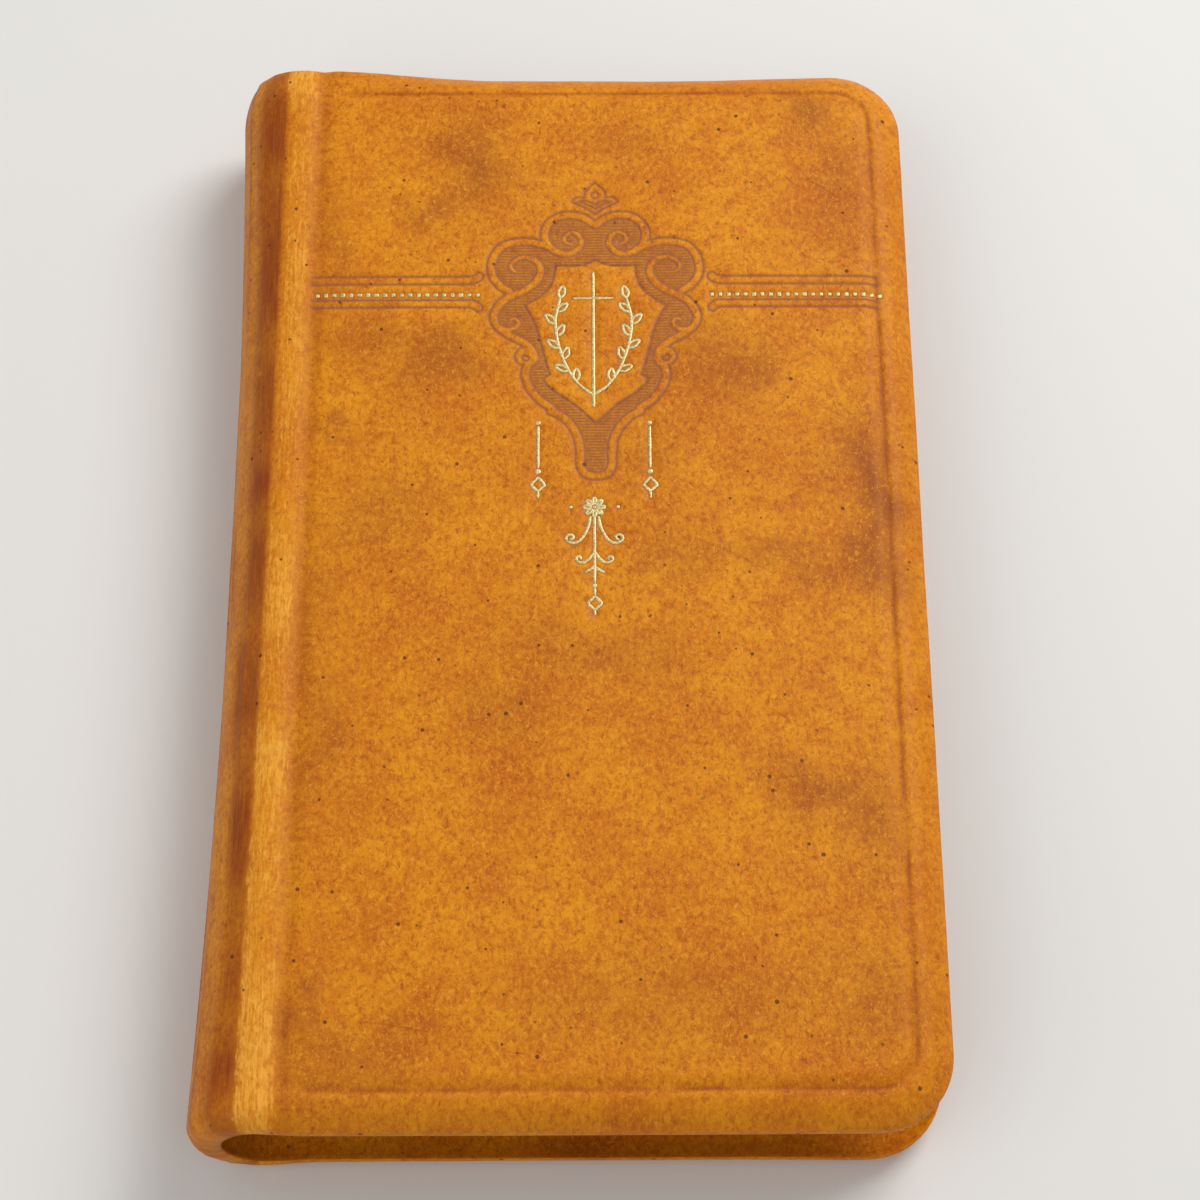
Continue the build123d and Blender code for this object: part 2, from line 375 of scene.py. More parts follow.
def drop_strokes():
    """The flower's petals, its stems and curls, and the small drop under it."""
    strokes = []
    for angle in np.arange(0, 360, 45):
        strokes.append(leaf_stroke((0.35 * math.cos(math.radians(angle)),
                                    FLOWER_Y + 0.35 * math.sin(math.radians(angle))), angle, 1.05))
    outer = np.vstack([smooth_path([(-0.5, -32.1), (-0.8, -33.6), (-1.6, -35.2), (-2.6, -35.8),
                                    (-3.5, -35.4)]), spiral((-2.95, -35.05), 0.62, 215, -0.9)])
    inner = np.vstack([smooth_path([(-0.05, -37.0), (-0.7, -38.0), (-1.5, -38.5), (-2.2, -38.2)]),
                       spiral((-1.9, -37.9), 0.42, 225, -0.75)])
    strokes += both_sides(outer) + both_sides(inner)
    strokes += both_sides(smooth_path([(0, -38.9), (-0.5, -39.4), (-1.2, -39.8)]))
    strokes.append(even_path([(0, -32.1), (0, -41.3)]))
    strokes.append(even_path([(0, -41.9), (0, -43.0)]))
    strokes.append(even_path([(0, -43.0), (-0.9, -44.0), (0, -44.9), (0.9, -44.0), (0, -43.0)]))
    strokes.append(even_path([(0, -44.9), (0, -45.6)]))
    return strokes


def gilt_strokes():
    strokes = [even_path([(0, 3.4), (0, -16.6)]), even_path([(-2.6, -0.6), (2.6, -0.6)])]
    for side in (-1, 1):
        strokes += [stroke * (-side, 1) for stroke in sprig_strokes()]
        x = side * PENDANT_X
        strokes.append(even_path([(x, -19.4), (x, -25.3)]))
        strokes.append(even_path([(x, -26.6), (x - 0.9, -27.7), (x, -28.6), (x + 0.9, -27.7),
                                  (x, -26.6)]))
        strokes.append(even_path([(x, -28.6), (x, -29.5)]))
    return strokes + drop_strokes()


def gilt_dots():
    """Centre and radius of each round dot."""
    dots = [((0, FLOWER_Y), 0.26), ((0, -41.6), 0.34)]
    for side in (-1, 1):
        dots += [((side * PENDANT_X, -18.9), 0.36), ((side * PENDANT_X, -25.8), 0.42),
                 ((side * 2.95, FLOWER_Y), 0.27)]
    return dots


def stud_places():
    """The gilt studs between the rules, from the frame out to the ridge and over the rim."""
    left = np.arange(LEFT_STUDS) * -STUD_PITCH + LEFT_STUD_X
    right = np.arange(RIGHT_STUDS) * STUD_PITCH + RIGHT_STUD_X
    along = np.concatenate([left, right])
    return np.column_stack([along, np.full(len(along), STUD_ROW_Y)])


# ---- The hide's shape ----
def inset_of(u, v):
    """Distance in from the hide's outline: a long strip with two rounded corners."""
    du = u - (FORE_X - CORNER_RADIUS)
    dv = np.abs(v) - (HALF_HEIGHT - CORNER_RADIUS)
    corner = np.hypot(np.maximum(du, 0), np.maximum(dv, 0))
    plain = np.maximum(du, dv)
    return CORNER_RADIUS - np.where((du > 0) & (dv > 0), corner, plain)


def rim_droop(u, v, seed):
    """How far the hide has turned down near its edge."""
    cover = smooth(RIDGE_X - 2, RIDGE_X + 6, u)
    head = smooth(0, 40, v)
    spine_reach = SPINE_TAIL_REACH + (SPINE_HEAD_REACH - SPINE_TAIL_REACH) * head
    reach = spine_reach + (BOARD_INSET - spine_reach) * cover
    depth = SPINE_END_DROP + (RIM_DROP - SPINE_END_DROP) * cover
    depth = depth * (1 - HEAD_LIFT * head * smooth(RIDGE_X + 26, RIDGE_X + 2, u) * cover)
    depth = depth * (1 + 0.1 * drift(u, v, 19, seed) * cover)
    share = np.clip(1 - inset_of(u, v) / reach, 0, 1)
    sag = HEAD_SAG * cover * bump(u - 2, 26) * smooth(0, 20, v)
    return (depth + sag) * share**2.1


def hide_offset(u, v, seed):
    """Height of the outer skin over the plain section."""
    inset = inset_of(u, v)
    cover = smooth(RIDGE_X + 1.5, RIDGE_X + 6, u)
    step = BOARD_STEP * smooth(BOARD_INSET + BOARD_ROUNDING, BOARD_INSET, inset) * cover
    crease = CREASE_DEPTH * bump(inset - BOARD_INSET + 0.15, CREASE_HALF) * cover
    crease *= 1 + 0.35 * drift(u, v, 9, seed + 1)
    ridge = RIDGE_RISE * bump(u - RIDGE_X, RIDGE_HALF)
    valley = VALLEY_DEPTH * bump(u - VALLEY_X, 1.1) * (1 + 0.4 * drift(u, v, 14, seed + 2))
    spine = smooth(RIDGE_X, RIDGE_X - 8, u)
    ends = np.abs(v) / HALF_HEIGHT
    flare = (SPINE_FLARE + SPINE_WAIST) * ends**2.2 - SPINE_WAIST
    creases = 0.16 * spine_lines(u, v) * spine
    warp = 0.1 * drift(u, v, 21, seed + 4) + 0.02 * drift(u, v, 4, seed + 5)
    worn = 0.05 * drift(u, v, 1.3, seed + 6) * smooth(2.0, 0.5, inset)
    own = smooth(SEAM_U, SEAM_U + 5, u)
    return ridge - step - crease - valley + flare * spine + creases + (warp + worn) * own \
        - rim_droop(u, v, seed)


def spine_lines(u, v):
    """Long fine creases down the spine, from -1 to 1."""
    return drift(u * 3.2, v * 0.16, 3.0, SPINE_SEED)


def inner_offset(u, v, seed):
    """Height of the turned-in skin over the plain section."""
    inset = inset_of(u, v)
    cover = smooth(RIDGE_X - 2.5, RIDGE_X + 1.0, u)
    wall = SPINE_WALL + (COVER_WALL - SPINE_WALL) * cover
    thinner = RIM_WALL_SHARE * smooth(BOARD_INSET + 0.3, BOARD_INSET - 0.6, inset) * cover
    window = WINDOW_RISE * smooth(WINDOW_INSET - 0.5, WINDOW_INSET + 0.7, inset)
    window *= smooth(HINGE_X + 0.3, HINGE_X + 1.5, u)
    return thinner + window - wall - rim_droop(u, v, seed)


def section(u):
    """Place (x, z) and outward normal of the plain section at u, for the front half."""
    turned = np.clip((RIDGE_X - u) / SPINE_RUN, 0, 1) * math.pi / 2
    rise = TOP_Z - MID_Z
    x = np.where(u < RIDGE_X, RIDGE_X - SPINE_REACH * np.sin(turned), u)
    z = MID_Z + rise * np.cos(turned)
    normal = np.column_stack([-rise * np.sin(turned), SPINE_REACH * np.cos(turned)])
    return x, z, normal / np.linalg.norm(normal, axis=1)[:, None]


def lay_out(u, v, offset, side):
    """Points in space of a skin at a height over the section; side is 1 in front, -1 at the back."""
    x, z, normal = section(u)
    head_pull = 0.5 * smooth(66, 72, v) * bump(u - 2, 30) * (side > 0)
    z = z + normal[:, 1] * offset
    return np.column_stack([x + normal[:, 0] * offset, v - head_pull, MID_Z + side * (z - MID_Z)])


def hide_outline(step):
    """The outline's points in the hide's own plane, and which way each faces."""
    arc = np.linspace(0, math.pi / 2, 15)
    right, top = FORE_X - CORNER_RADIUS, HALF_HEIGHT - CORNER_RADIUS
    head = even_path([(right, HALF_HEIGHT), (SEAM_U, HALF_HEIGHT)], step)
    fore = even_path([(FORE_X, -top), (FORE_X, top)], step)
    corner = np.column_stack([right + CORNER_RADIUS * np.cos(arc), top + CORNER_RADIUS * np.sin(arc)])
    seam = even_path([(SEAM_U, HALF_HEIGHT), (SEAM_U, -HALF_HEIGHT)], step)[1:-1]
    tail = head[::-1] * (1, -1)
    loop = np.vstack([fore[:-1], corner[:-1], head, seam, tail, (corner * (1, -1))[::-1][1:-1]])
    facing = np.zeros_like(loop)
    du, dv = loop[:, 0] - right, np.abs(loop[:, 1]) - top
    facing[:, 0] = np.maximum(du, 0)
    facing[:, 1] = np.maximum(dv, 0) * np.sign(loop[:, 1])
    seam_side = (loop[:, 0] < SEAM_U + 1e-6) & (np.abs(loop[:, 1]) < HALF_HEIGHT - 1e-6)
    facing[seam_side] = 0
    length = np.maximum(np.linalg.norm(facing, axis=1), 1e-9)
    return loop, facing / length[:, None]


def plain_points(loop, step, rim_steps, hinge_step):
    """Points that carry the hide's large shape, inside the outline."""
    rows = [np.array([(u, v) for u in np.arange(VALLEY_X + 3, FORE_X, step)
                      for v in np.arange(-HALF_HEIGHT, HALF_HEIGHT, step)])]
    rows.append(np.array([(u, v) for u in np.arange(SEAM_U + hinge_step, VALLEY_X + 3, hinge_step)
                          for v in np.arange(-HALF_HEIGHT + 0.9, HALF_HEIGHT - 0.5, 0.9)]))
    centre = np.array([FORE_X - CORNER_RADIUS, 0])
    for inset in rim_steps:
        moved = loop.copy()
        top = HALF_HEIGHT - CORNER_RADIUS
        du, dv = loop[:, 0] - centre[0], np.abs(loop[:, 1]) - top
        reach = np.hypot(np.maximum(du, 0), np.maximum(dv, 0))
        share = (reach - inset) / np.maximum(reach, 1e-9)
        keep = (reach > inset + 1e-6) & (loop[:, 0] > SEAM_U + 1e-6)
        moved[:, 0] = np.where(du > 0, centre[0] + du * share, loop[:, 0])
        moved[:, 1] = np.where(dv > 0, np.sign(loop[:, 1]) * (top + dv * share), loop[:, 1])
        rows.append(moved[keep])
    points = np.vstack(rows)
    return points[inset_of(points[:, 0], points[:, 1]) > 0.3]


def thin_out(wanted, plain, gap):
    """The plain points that aren't crowded by a wanted one."""
    cells = {(int(a), int(b)) for a, b in np.floor(wanted / gap)}
    near = {(a + i, b + j) for a, b in cells for i in (-1, 0, 1) for j in (-1, 0, 1)}
    keep = [(int(a), int(b)) not in near for a, b in np.floor(plain / gap)]
    return plain[keep]


def triangulate(points):
    """Triangles over the points, which fill a convex outline, all facing the same way."""
    verts, _, faces, *_ = delaunay_2d_cdt([Vector(p) for p in points.tolist()], [], [], 0, 1e-5)
    flat = np.array([tuple(v) for v in verts])
    faces = np.array([tuple(f) for f in faces])
    a, b, c = (flat[faces[:, k]] for k in (0, 1, 2))
    area = (b[:, 0] - a[:, 0]) * (c[:, 1] - a[:, 1]) - (b[:, 1] - a[:, 1]) * (c[:, 0] - a[:, 0])
    faces[area < 0] = faces[area < 0][:, ::-1]
    return flat, faces[np.abs(area) > 1e-9]


# ---- What the tools pressed into the hide ----
def tooling_points():
    """Extra points that carry the engraved lines, the hatching and the gilt's grooves."""
    rows = []
    for path, halves in ribbon_paths():
        for gap in (-1, 1):
            for extra in (-0.36, -LINE_HALF, 0, LINE_HALF, 0.36):
                rows.append(beside(path, gap * (halves + extra)[:, None]))
        rows.append(path)
    for path in engraved_lines():
        for gap in (-0.36, -LINE_HALF, 0, LINE_HALF, 0.36):
            rows.append(beside(path, gap))
    for path in gilt_strokes():
        for gap in (-0.4, -GILT_HALF, 0, GILT_HALF, 0.4):
            rows.append(beside(path, gap) + (GILDING_X - TOOLING_X, 0))
    ring = np.column_stack([np.cos(np.arange(8) * math.pi / 4), np.sin(np.arange(8) * math.pi / 4)])
    for centre, radius in gilt_dots():
        shift = np.array(centre) + (GILDING_X - TOOLING_X, 0)
        rows += [shift + ring * radius, shift + ring * (radius + 0.2), shift[None]]
    square = np.array([(a, b) for a in (-1, 0, 1) for b in (-1, 0, 1)]) * STUD_SIZE / 2
    rows += [place + square * spread for place in stud_places() for spread in (1, 1.5)]
    outline = frame_outline()
    low, high = outline.min(0), outline.max(0)
    across = np.arange(low[0], high[0], 0.45)
    for y in np.arange(math.ceil(low[1] / HATCH_PITCH) * HATCH_PITCH, high[1], HATCH_PITCH / 2):
        row = np.column_stack([across, np.full(len(across), y)])
        rows.append(row[inside(row, outline) & ~inside(row, shield_outline())])
    return np.vstack(rows) + (TOOLING_X, TOOLING_Y)


def tooling_marks(u, v):
    """Depth, and how much each point is line, hatched ground and gilt groove."""
    at = np.column_stack([u, v]) - (TOOLING_X, TOOLING_Y)
    near = (np.abs(at[:, 0]) < 39) & (at[:, 1] < 18) & (at[:, 1] > -47)
    part = at[near]
    ribbon = np.full(len(part), 1e9)
    for path, halves in ribbon_paths():
        ribbon = np.minimum(ribbon, distance_to_path(part, path, halves))
    line = bump(ribbon, LINE_HALF)
    for path in engraved_lines():
        line = np.maximum(line, bump(distance_to_path(part, path, np.zeros(len(path))), LINE_HALF))
    ground = inside(part, frame_outline()) & ~inside(part, shield_outline())
    ground = ground * smooth(0.05, 0.25, ribbon)
    hatch = ground * (0.5 - 0.5 * np.cos(part[:, 1] / HATCH_PITCH * 2 * math.pi))
    gilt = np.full(len(part), 1e9)
    shifted = part - (GILDING_X - TOOLING_X, 0)
    for path in gilt_strokes():
        gilt = np.minimum(gilt, distance_to_path(shifted, path, np.zeros(len(path))))
    for centre, radius in gilt_dots():
        gilt = np.minimum(gilt, np.linalg.norm(shifted - centre, axis=1) - radius + GILT_HALF)
    for place in stud_places():
        reach = np.abs(part - place).max(axis=1) - STUD_SIZE / 2
        gilt = np.minimum(gilt, reach + GILT_HALF)
    groove = smooth(GILT_HALF + 0.16, GILT_HALF - 0.02, gilt)
    raised = 0.04 * smooth(-LINE_HALF, -0.45, ribbon)
    full = np.zeros((4, len(at)))
    full[0, near] = LINE_DEPTH * line + GROUND_DEPTH * ground + HATCH_DEPTH * hatch - raised
    full[0, near] = np.maximum(full[0, near], GILT_DEPTH * groove)
    full[1, near], full[2, near], full[3, near] = line, 0.3 * ground + 0.7 * hatch, groove
    return full


# ---- Stains, wear, painted crease shade and board-edge highlight, as the hide shows them ----
# centre x, y, half width, half height, turn in degrees, strength
FRONT_STAINS = (
    (-12.8, 57, 3.6, 6.5, 12, 0.75), (-17, 50.9, 4.5, 2.6, 15, 0.6), (30.5, 64.5, 3.0, 4.5, 20, 0.7),
    (-17, 28.2, 4.5, 4.0, -15, 0.65), (20.1, 24.5, 4.6, 4.0, 20, 0.6), (16.4, 27.5, 4, 5, 35, 0.4),
    (37.4, 8, 3.4, 7.5, 8, 1.0), (38.5, 0, 3.2, 6, 0, 0.8), (27, -2.4, 8, 1.3, -6, 0.5),
    (14, -1.0, 6.5, 1.5, 8, 0.35), (-28, 16.2, 5, 0.6, 2, 0.45), (-10, -21, 5.5, 3.5, 10, 0.4),
    (30, -31.5, 5.5, 3.6, -12, 0.7), (36, -35, 3.4, 6, 0, 0.6), (-30.5, -24, 3.0, 10, 4, 0.5),
    (-31, -8, 2.4, 6, 0, 0.35), (-30.8, -54, 1.2, 1.4, 0, 0.8), (-31.5, -59.5, 2.2, 3.4, 0, 0.6),
    (-20.3, -60.8, 4.0, 0.55, -9, 0.45), (-24, 5, 9, 4, 20, 0.35), (2, -14, 10, 3, -5, 0.35),
    (-32, 44, 1.6, 12, 0, 0.35), (36, 52, 3.5, 8, 0, 0.3), (12, -58, 18, 5, 4, 0.3),
    (36, -58, 5, 6, 30, 0.45), (-28, -64, 8, 4, 0, 0.5), (8, 60, 4, 3, 0, 0.25),
    (-26, 30, 5, 3, 10, 0.35), (10, 12, 5, 4, 0, 0.25),
)
BACK_STAINS = (
    (10, 30, 14, 8, 20, 0.45), (-18, -30, 9, 14, -20, 0.5), (30, -20, 6, 18, 10, 0.5),
    (-20, 50, 8, 6, 0, 0.4), (24, 55, 5, 9, 30, 0.5), (0, -60, 20, 4, 0, 0.35),
    (-30, 10, 3, 20, 0, 0.35), (12, -8, 5, 3, 45, 0.3),
)


# start, end, how far it bows sideways, strength: fine dark scratches in the front
SCRATCHES = (
    ((31.4, 53.7), (34.8, 51.2), 0.15, 0.6), ((-27.2, -50.5), (-21.3, -48.1), -0.2, 0.35),
    ((-10.7, -57.8), (-9.4, -55.8), 0.1, 0.4), ((35.8, 28.0), (36.8, 25.2), 0.1, 0.3),
    ((15.5, 1.2), (24.5, -3.4), 0.2, 0.3), ((12.2, -0.4), (17.0, -3.2), -0.15, 0.25),
    ((23.2, -30.8), (29.5, -30.2), 0.2, 0.3), ((-17.5, 55.5), (-9.5, 54.4), -0.2, 0.25),
    ((-24.0, -60.2), (-16.9, -61.4), 0.1, 0.4), ((1.2, 66.6), (2.4, 64.8), 0.1, 0.35),
)
SCRATCH_HALF = 0.13
SCRATCH_DEPTH = 0.04


def scratch_paths():
    paths = []
    for start, end, bow, _ in SCRATCHES:
        start, end = np.array(start), np.array(end)
        run = end - start
        side = np.array([-run[1], run[0]]) / np.linalg.norm(run)
        paths.append(smooth_path([start, (start + end) / 2 + bow * side, end], 0.4))
    return paths


def scratch_map(u, v):
    """How deep each point lies in a scratch, from 0 to 1."""
    shade = np.zeros(len(u))
    at = np.column_stack([u, v])
    for path, (_, _, _, strength) in zip(scratch_paths(), SCRATCHES):
        low, high = path.min(0) - 1, path.max(0) + 1
        near = ((at > low) & (at < high)).all(axis=1)
        gap = distance_to_path(at[near], path, np.zeros(len(path)))
        shade[near] = np.maximum(shade[near], strength * bump(gap, SCRATCH_HALF))
    return shade


def stain_map(u, v, stains, seed):
    """How dark each point is stained, from soft uneven patches."""
    shade = np.zeros(len(u))
    wander_u = u + 2.6 * drift(u, v, 5, seed) + 1.0 * drift(u, v, 2, seed + 1)
    wander_v = v + 2.6 * drift(u, v, 5, seed + 2) + 1.0 * drift(u, v, 2, seed + 3)
    for x, y, half_w, half_h, turn, strength in stains:
        c, s = math.cos(math.radians(turn)), math.sin(math.radians(turn))
        a = (c * (wander_u - x) + s * (wander_v - y)) / half_w
        b = (c * (wander_v - y) - s * (wander_u - x)) / half_h
        shade = np.maximum(shade, strength * np.exp(-(a * a + b * b) * 0.8))
    return shade


def wear_and_highlight_map(u, v, inset, seed):
    """How pale each point is rubbed: the ridge, the spine's ends, the rims' edges; and a painted
    highlight on the board's rounded edge, just inside the crease.
    """
    ragged = 0.5 * drift(u, v, 1.1, seed + 7) + 0.5 * drift(u, v, 6, seed + 8)
    left = RIDGE_X - 2.0 + 0.012 * (v - 30) - 1.6 * smooth(64, 71, v) + 0.35 * ragged
    ridge = smooth(left - 0.4, left + 0.5, u)
    ridge = ridge * smooth(VALLEY_X + 0.9, VALLEY_X - 1.6, u + 0.5 * ragged)
    ridge *= 0.8 + 0.2 * drift(u, v, 7, seed) + 0.15 * bump(v - 70, 6) + 0.1 * smooth(10, -40, v)
    beside_ridge = 0.42 * bump(u - RIDGE_X - 7, 4) * (0.55 + 0.6 * drift(u, v, 7, seed + 3))
    edge = 0.55 * smooth(1.2, 0.1, inset) * (0.6 + 0.4 * drift(u, v, 3, seed + 1))
    tail = 0.7 * smooth(-68.5, -71.6, v) * (0.5 + 0.5 * drift(u, v, 1.6, seed + 2))
    tail_dashes = 0.6 * bump(v + 66.5, 1.6) * smooth(-34, -20, u) * (0.4 + 0.6 * drift(
        u, v, 5, seed + 5))
    rim = 0.42 * smooth(BOARD_INSET - 0.2, BOARD_INSET - 1.2, inset) * smooth(
        VALLEY_X, VALLEY_X + 8, u)
    # painted highlight: a pale band on the board's rounded edge inside the crease, where light catches
    # it
    board_edge_highlight = 0.45 * bump(inset - BOARD_INSET - 0.9, 0.6) * smooth(VALLEY_X, VALLEY_X + 8, u)
    nick = 0.9 * bump(np.hypot(u - RIDGE_X + 5.2, v - 26), 0.7)
    return np.clip(np.maximum.reduce([ridge, beside_ridge, edge, tail, tail_dashes, rim,
                                      board_edge_highlight, nick]), 0, 1)


def dark_map(u, v, seed):
    """The dark red-brown band beside the ridge, painted shade in the board's crease, and darker colour
    along the valley.
    """
    band_end = RIDGE_X - 6.2 + 1.2 * drift(u, v, 16, seed)
    band = smooth(band_end - 1.6, band_end + 1.2, u) * smooth(RIDGE_X - 1.7, RIDGE_X - 2.6, u)
    inset = inset_of(u, v)
    # painted shade: a dark line along the board's crease, where its groove lies in shade
    crease = bump(inset - BOARD_INSET + 0.15, 0.3) * smooth(VALLEY_X, VALLEY_X + 6, u)
    crease *= 0.55 + 0.35 * drift(u, v, 3.5, seed + 6)
    valley = 0.45 * bump(u - VALLEY_X - 0.3, 0.9) * (0.6 + 0.4 * drift(u, v, 6, seed + 7))
    lines = 0.5 * smooth(0.35, 0.8, spine_lines(u, v)) * smooth(RIDGE_X - 4, RIDGE_X - 7, u)
    return np.clip(np.maximum.reduce([band * (0.72 + 0.28 * drift(u, v, 5, seed + 4)), crease,
                                      valley, lines]), 0, 1)


# ---- Shader building ----
def add(tree, kind, inputs=None, **settings):
    """A node with its settings; each input is a value or a socket to link from."""
    made = tree.nodes.new(kind)
    for key, value in settings.items():
        setattr(made, key, value)
    for key, value in (inputs or {}).items():
        if isinstance(value, bpy.types.NodeSocket):
            tree.links.new(value, made.inputs[key])
        else:
            made.inputs[key].default_value = value
    return made


def colour(red, green, blue):
    """A colour as a screen shows it, 0 to 255, turned into light."""
    parts = [c / 255 for c in (red, green, blue)]
    return (*[c / 12.92 if c < 0.04 else ((c + 0.055) / 1.055) ** 2.4 for c in parts], 1)


def mix(tree, share, first, second, blend="MIX"):
    made = add(tree, "ShaderNodeMix", {0: share, 6: first, 7: second}, data_type="RGBA",
               blend_type=blend)
    return made.outputs[2]


def math_node(tree, operation, first, second=0.0, clamp=False):
    made = add(tree, "ShaderNodeMath", {0: first, 1: second}, operation=operation, use_clamp=clamp)
    return made.outputs[0]


def fit(tree, value, low, high, out_low=0.0, out_high=1.0):
    made = add(tree, "ShaderNodeMapRange", {"Value": value, "From Min": low, "From Max": high,
                                            "To Min": out_low, "To Max": out_high},
               interpolation_type="SMOOTHSTEP")
    return made.outputs["Result"]


def noise(tree, place, scale, detail=3.0, roughness=0.55, distortion=0.0):
    made = add(tree, "ShaderNodeTexNoise", {"Vector": place, "Scale": scale, "Detail": detail,
                                            "Roughness": roughness, "Distortion": distortion})
    return made.outputs["Fac"]


def attribute(tree, name, field="Fac"):
    return add(tree, "ShaderNodeAttribute", attribute_name=name).outputs[field]


def stretched(tree, place, scale):
    return add(tree, "ShaderNodeMapping", {"Vector": place, "Scale": scale}).outputs["Vector"]


def effect_group(name, inputs, outputs):
    """An empty shader group with named sockets; returns the tree, its inputs and its output node."""
    tree = bpy.data.node_groups.new(name, "ShaderNodeTree")
    for label, kind, default in inputs:
        socket = tree.interface.new_socket(label, in_out="INPUT", socket_type=kind)
        if default is not None:
            socket.default_value = default
    for label in outputs:
        tree.interface.new_socket(label, in_out="OUTPUT", socket_type="NodeSocketFloat")
    return tree, tree.nodes.new("NodeGroupInput").outputs, tree.nodes.new("NodeGroupOutput").inputs


def use_group(tree, group, inputs):
    made = add(tree, "ShaderNodeGroup", node_tree=group)
    for key, value in inputs.items():
        if isinstance(value, bpy.types.NodeSocket):
            tree.links.new(value, made.inputs[key])
        else:
            made.inputs[key].default_value = value
    return made.outputs


def build_hide_grain():
    """Cloudy tone, fine speckle, dark pores and the grain's height, in millimetre places."""
    tree, given, out = effect_group("hide_grain", [
        ("Place", "NodeSocketVector", None), ("Fineness", "NodeSocketFloat", 1.0)],
        ["Cloud", "Mottle", "Speckle", "Flecks", "Pores", "Height"])
    fineness = given["Fineness"]
    place = add(tree, "ShaderNodeVectorMath", {0: given["Place"], "Scale": fineness},
                operation="SCALE").outputs[0]
    cloud = noise(tree, place, 0.07, 9, 0.68, 0.2)
    tree.links.new(fit(tree, cloud, 0.3, 0.62), out["Cloud"])
    mottle = noise(tree, place, 0.42, 5, 0.72, 0.3)
    tree.links.new(fit(tree, mottle, 0.35, 0.65), out["Mottle"])
    flecks = noise(tree, stretched(tree, place, (2.0, 1.3, 1.6)), 1.5, 1, 0.5, 1.5)
    tree.links.new(fit(tree, flecks, 0.6, 0.72), out["Flecks"])
    fibre = noise(tree, stretched(tree, place, (1.5, 1.1, 1.3)), 1.0, 6, 0.85, 0.5)
    tree.links.new(fibre, out["Speckle"])
    pores = add(tree, "ShaderNodeTexVoronoi", {"Vector": place, "Scale": 0.5, "Randomness": 1.0})
    chance = add(tree, "ShaderNodeSeparateXYZ", {0: pores.outputs["Color"]}).outputs
    reach = math_node(tree, "SUBTRACT", pores.outputs["Distance"],
                      math_node(tree, "MULTIPLY", chance["Y"], 0.07))
    dot = math_node(tree, "MULTIPLY", fit(tree, reach, 0.1, 0.04), fit(tree, chance["X"], 0.6, 0.75))
    tree.links.new(dot, out["Pores"])
    pebble = add(tree, "ShaderNodeTexVoronoi", {"Vector": place, "Scale": 3.2},
                 feature="SMOOTH_F1")
    height = math_node(tree, "ADD", math_node(tree, "MULTIPLY", pebble.outputs["Distance"], 0.6),
                       math_node(tree, "MULTIPLY", fibre, 0.7))
    height = math_node(tree, "SUBTRACT", height, math_node(tree, "MULTIPLY", dot, 0.8))
    tree.links.new(height, out["Height"])
    return tree


def build_ragged_streaks():
    """Ragged streaks that run along the second axis, kept to where Amount is high."""
    tree, given, out = effect_group("ragged_streaks", [
        ("Place", "NodeSocketVector", None), ("Amount", "NodeSocketFloat", 0.0),
        ("Raggedness", "NodeSocketFloat", 0.35)], ["Mask", "Lines", "Flecks"])
    long = stretched(tree, given["Place"], (3.0, 0.22, 1.0))
    lines = noise(tree, long, 1.0, 4, 0.7)
    fleck = noise(tree, stretched(tree, given["Place"], (2.2, 0.9, 1.0)), 0.9, 5, 0.75, 0.6)
    rough = math_node(tree, "ADD", math_node(tree, "MULTIPLY", lines, 0.4),
                      math_node(tree, "MULTIPLY", fleck, 0.6))
    short = math_node(tree, "MULTIPLY", math_node(tree, "SUBTRACT", given["Amount"], 1.0),
                      given["Raggedness"])
    tree.links.new(fit(tree, math_node(tree, "ADD", rough, short), 0.36, 0.6), out["Mask"])
    tree.links.new(lines, out["Lines"])
    tree.links.new(rough, out["Flecks"])
    return tree


def build_paper_fibre():
    """Faint fibres, clouding and brown foxing spots of old paper."""
    tree, given, out = effect_group("paper_fibre", [("Place", "NodeSocketVector", None)],
                                    ["Cloud", "Fibre", "Foxing"])
    place = given["Place"]
    tree.links.new(noise(tree, place, 60.0, 4, 0.6), out["Cloud"])
    tree.links.new(noise(tree, place, 2400.0, 3, 0.7), out["Fibre"])
    spots = add(tree, "ShaderNodeTexVoronoi", {"Vector": place, "Scale": 120.0})
    rare = noise(tree, place, 45.0, 2)
    foxing = math_node(tree, "MULTIPLY", fit(tree, spots.outputs["Distance"], 0.22, 0.04),
                       fit(tree, rare, 0.55, 0.7))
    tree.links.new(foxing, out["Foxing"])
    return tree


def build_weave():
    """Crossing threads: the height of a plain weave, and how worn each thread looks."""
    tree, given, out = effect_group("plain_weave", [
        ("Place", "NodeSocketVector", None), ("Threads", "NodeSocketFloat", 1200.0)],
        ["Height", "Wear"])
    parts = add(tree, "ShaderNodeSeparateXYZ", {0: given["Place"]}).outputs
    waves = [math_node(tree, "ABSOLUTE", math_node(tree, "SINE", math_node(
        tree, "MULTIPLY", axis, math_node(tree, "MULTIPLY", given["Threads"], 3.14159))))
        for axis in (parts["Y"], parts["Z"])]
    tree.links.new(math_node(tree, "MAXIMUM", *waves), out["Height"])
    tree.links.new(noise(tree, given["Place"], 700.0, 3), out["Wear"])
    return tree


HIDE_GRAIN = build_hide_grain()
RAGGED_STREAKS = build_ragged_streaks()
PAPER_FIBRE = build_paper_fibre()
PLAIN_WEAVE = build_weave()


def new_material(name):
    """A material with its Principled shader, ready to link."""
    material = bpy.data.materials.new(name)
    material.use_nodes = True
    tree = material.node_tree
    return material, tree, tree.nodes["Principled BSDF"]


def bump_normal(tree, shader, height, strength, distance):
    made = add(tree, "ShaderNodeBump", {"Height": height, "Strength": strength,
                                        "Distance": distance})
    tree.links.new(made.outputs["Normal"], shader.inputs["Normal"])


